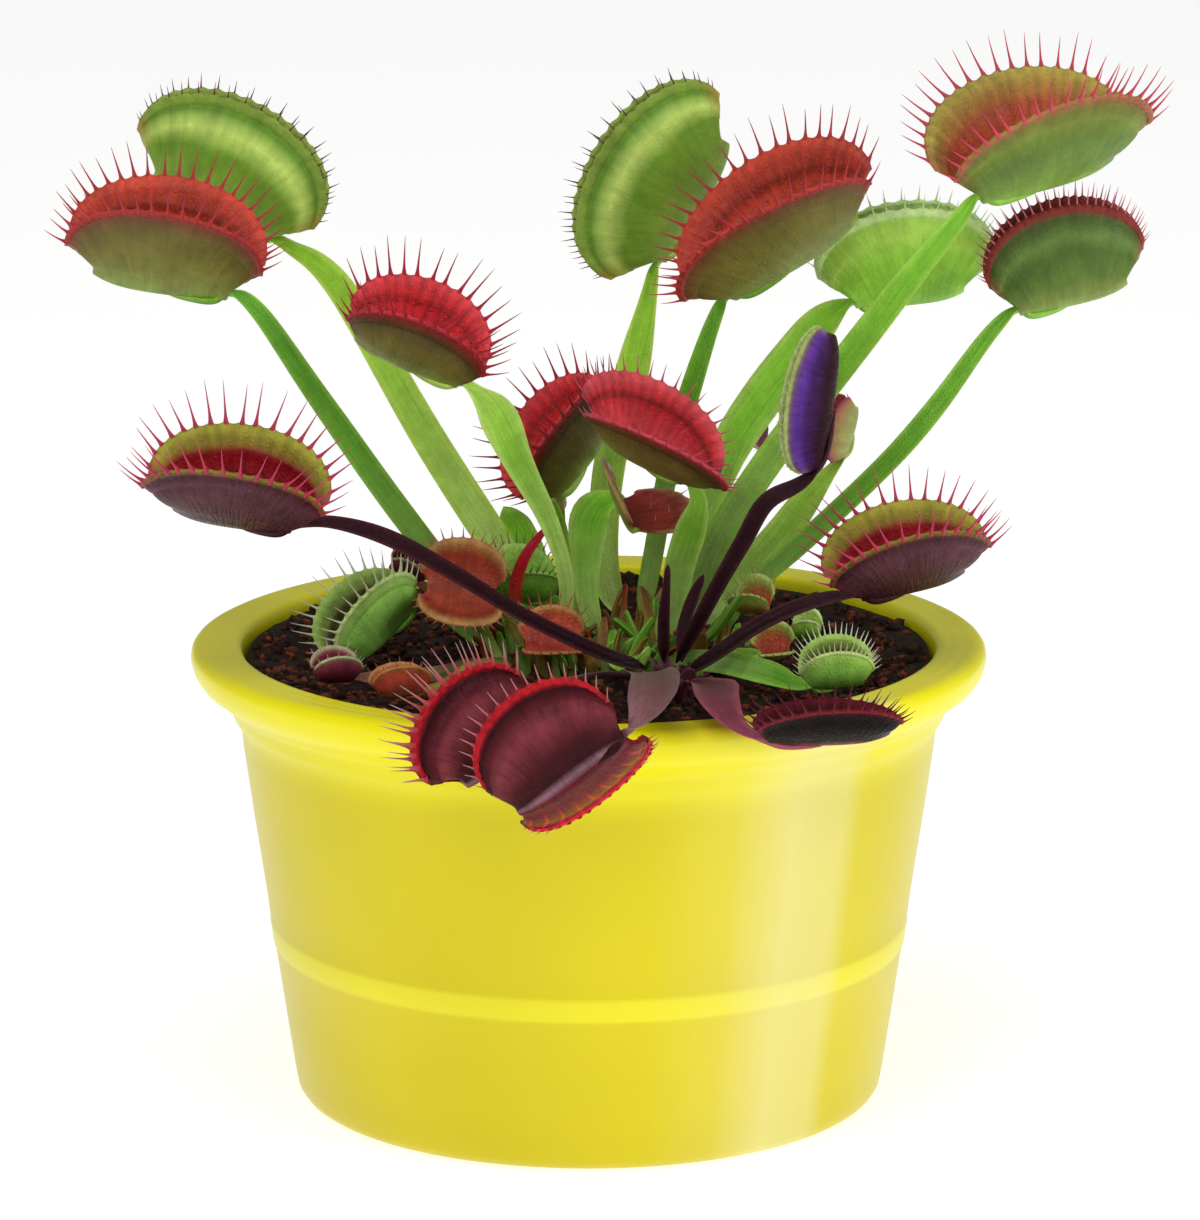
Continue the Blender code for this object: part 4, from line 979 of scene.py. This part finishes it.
def make_soil_bed():
    """The root ball: a turned body with a rough top."""
    rings = [(51.4 - 1.2 * i, SOIL_TOP) for i in range(43)]
    bm = spin_profile(SOIL_SIDE + rings, 110)
    for vert in bm.verts:
        if abs(vert.co.z - SOIL_TOP * MM) < 0.1 * MM:
            vert.co.z = soil_height(vert.co.x / MM, vert.co.y / MM) * MM
    for face in bm.faces:
        face.smooth = True
    soil = finish_piece("soil_bed", (bm,), [soil_material("damp_peat", "#0C0604", "#6A3016", 0.9)], 0)
    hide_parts("soil")


def add_crumb(bm, rng, sizes, flat):
    """One crumb of mix lying on the soil."""
    radius = CRUMB_REACH * math.sqrt(rng.random())
    angle = rng.uniform(0, 2 * math.pi)
    x, y = radius * math.cos(angle), radius * math.sin(angle)
    made = bmesh.ops.create_icosphere(bm, subdivisions=1, radius=1.0)["verts"]
    size = rng.uniform(*sizes)
    for vert in made:
        vert.co *= 1.0 + rng.uniform(-0.28, 0.28)
    turn = Matrix.Rotation(rng.uniform(0, 6.28), 4, "Z") @ Matrix.Rotation(rng.uniform(-0.5, 0.5), 4, "X")
    shape = Matrix.Diagonal((size, size * rng.uniform(0.5, 0.9), size * flat, 1.0))
    lift = Matrix.Translation((x, y, soil_height(x, y) + size * flat * 0.35))
    bmesh.ops.transform(bm, matrix=Matrix.Scale(MM, 4) @ lift @ turn @ shape, verts=made)


def make_crumbs(name, count, seed, sizes, flat, dark, light, rough):
    """A scatter of crumbs, bark chips or grit."""
    rng = random.Random(seed)
    bm = bmesh.new()
    for _ in range(count):
        add_crumb(bm, rng, sizes, flat)
    obj = finish_piece(name, (bm,), [soil_material(name, dark, light, rough)], 0)


def make_soil():
    """Soil bed with crumbs and bark chips."""
    make_soil_bed()
    make_crumbs("peat_crumbs", count=1500, seed=3, sizes=(0.35, 1.2), flat=0.8,
                dark="#120804", light="#7A3818", rough=0.92)
    make_crumbs("bark_chips", count=1300, seed=8, sizes=(0.35, 1.05), flat=0.6,
                dark="#5A220E", light="#B85C2A", rough=0.8)
    make_crumbs("dark_grit", count=260, seed=12, sizes=(0.3, 0.8), flat=0.8,
                dark="#060403", light="#2A1A12", rough=0.6)


# ---------------------------------------------------------------- crowns

def crown_scales(growth, place, count, rng, colours, rise):
    """Pointed leaf bases crowded round a crown."""
    x, y, rx, ry, height = place
    for i in range(count):
        angle = GOLDEN_TURN * i + rng.uniform(-0.3, 0.3)
        ring = math.sqrt((i + 0.5) / count) * 0.92
        foot = Vector((x + rx * ring * math.cos(angle), y + ry * ring * math.sin(angle), SOIL_TOP))
        lean = Vector((math.cos(angle), math.sin(angle), 0.0)).lerp(
            Vector((rng.uniform(-1, 1), rng.uniform(-1, 1), 0.0)), 0.4) * (0.5 + 1.3 * ring)
        long = rise * rng.uniform(0.35, 1.1)
        up = height * (1 - ring * ring) + long * rng.uniform(0.5, 1.0)
        tip = foot + lean * long * 0.6 + Vector((0, 0, up))
        mid = foot.lerp(tip, 0.55) + Vector((rng.uniform(-0.6, 0.6), rng.uniform(-0.6, 0.6), 0.8))
        wide = rng.uniform(0.5, 1.15)
        scale = dict(path=[(*(foot - Vector((0, 0, 0.8))), 1.1), (*mid, wide), (*tip, 0.45 * wide)],
                     face=(-math.cos(angle), -math.sin(angle), 0.9), colours=rng.choice(colours))
        grow_stalk(growth, scale, 0)


def crown_dome(growth, place, shades):
    """The rounded top of the rhizome."""
    x, y, rx, ry, height = place

    def dome(u, turn):
        angle = 2 * math.pi * turn
        ring = math.sin(math.pi * u)
        lump = 1.0 + 0.10 * noise.noise(Vector((math.cos(angle) * 2, math.sin(angle) * 2, u * 3)))
        up = height * math.cos(math.pi * u) * (1.0 if u < 0.5 else 0.2)
        point = Vector((x + rx * ring * lump * math.cos(angle), y + ry * ring * lump * math.sin(angle),
                        SOIL_TOP + 0.3 + up))
        return point, blend_stops(shades, u), (angle * rx, u * ry, 0.0)

    roll_grid(growth, 16, 40, dome, lambda u, turn: 0)


def scale_shades(codes):
    """Colours for a small scale leaf: along its middle, then its thin edges."""
    *stalk, wing = [linear(code) for code in codes.split()]
    return {"stalk": stalk, "wing": wing}


def make_crowns(mats):
    """The two crowns, each a dome with crowded leaf bases."""
    green = [scale_shades("#CBD89A #9CC45C #6EAA40 #B8D878"), scale_shades("#B8CC84 #7DB848 #5C9C3A #9CCC60"),
             scale_shades("#A8A060 #8C6A38 #6A4426 #A88050"), scale_shades("#B8A070 #A05A40 #8C3430 #B86850")]
    dark = [scale_shades("#2A1216 #4A2028 #5A2E38 #5C343E"), scale_shades("#3A1A1C #5A3438 #7A5054 #80585C")]
    for kind, place, count, palettes, base, rise, tufts in (
            ("green", CROWN_GREEN, 58, green, "#8C9C50 #6A6A38 #3A3420", 8.0, CROWN_TUFTS),
            ("dark", CROWN_DARK, 26, dark, "#4A2428 #36181C #241012", 4.0, [])):
        node = kind + "_crown"
        growth = start_growth()
        crown_dome(growth, place, [linear(code) for code in base.split()])
        rng = random.Random(node)
        crown_scales(growth, place, count, rng, palettes, rise)
        for tuft in tufts:
            crown_scales(growth, tuft, TUFT_STRAPS, rng, palettes, TUFT_RISE)
        obj = finish_piece(node + "_grown", growth, [mats[kind + "_stalk"]], 0)
        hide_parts(node)


# ---------------------------------------------------------------- studio

def make_floor():
    """A plain pale floor."""
    bm = bmesh.new()
    bmesh.ops.create_grid(bm, x_segments=1, y_segments=1, size=6.0)
    mesh = bpy.data.meshes.new("studio_floor")
    bm.to_mesh(mesh)
    bm.free()
    mat = new_material("matte_white_card", Base_Color=(*linear("#D0D0CE"), 1.0), Roughness=0.9,
                       Emission_Color=(1.0, 1.0, 1.0, 1.0), Emission_Strength=0.70)[0]
    mesh.materials.append(mat)
    floor = bpy.data.objects.new("studio_floor", mesh)
    floor.location = (0, 0, -0.0002)
    bpy.context.scene.collection.objects.link(floor)


def softbox(name, azimuth, height, reach, size, power, tall=1.0):
    """A rectangular soft light that looks at the plant. Azimuth in degrees from the front, + to the right."""
    light = bpy.data.lights.new(name, "AREA")
    light.shape = "RECTANGLE"
    light.size = size
    light.size_y = size * tall
    light.energy = power
    obj = bpy.data.objects.new(name, light)
    angle = math.radians(azimuth)
    obj.location = (reach * math.sin(angle), -reach * math.cos(angle), height)
    aim = Vector((0.0, 0.0, 0.08)) - obj.location
    obj.rotation_euler = aim.to_track_quat("-Z", "Y").to_euler()
    bpy.context.scene.collection.objects.link(obj)


def make_studio():
    """Floor, soft lights, white surroundings and the camera."""
    scene = bpy.context.scene
    make_floor()
    softbox("key", azimuth=60, height=0.35, reach=0.9, size=0.3, power=2.6, tall=1.6)
    softbox("fill", azimuth=-20, height=0.9, reach=1.3, size=0.8, power=6.0)
    softbox("top", azimuth=-15, height=1.5, reach=0.5, size=0.7, power=5.0)
    world = bpy.data.worlds.new("studio_white")
    world.use_nodes = True
    world.node_tree.nodes["Background"].inputs["Color"].default_value = (1.0, 1.0, 1.0, 1.0)
    world.node_tree.nodes["Background"].inputs["Strength"].default_value = 0.28
    scene.world = world
    scene.view_settings.view_transform = "Standard"
    lens = bpy.data.cameras.new("view")
    lens.lens = CAMERA_LENS
    lens.sensor_width = 36.0
    lens.clip_end = 20.0
    camera = bpy.data.objects.new("view", lens)
    camera.location = CAMERA_PLACE
    camera.rotation_euler = (math.radians(90 - CAMERA_TILT), 0.0, 0.0)
    scene.collection.objects.link(camera)
    scene.camera = camera


def main():
    """Builds the plant, the pot and the studio."""
    make_studio()
    make_pot()
    make_soil()
    mats = tissue_materials()
    make_crowns(mats)
    for node in LEAVES:
        grow_leaf(node, mats)
    bpy.context.view_layer.update()


main()
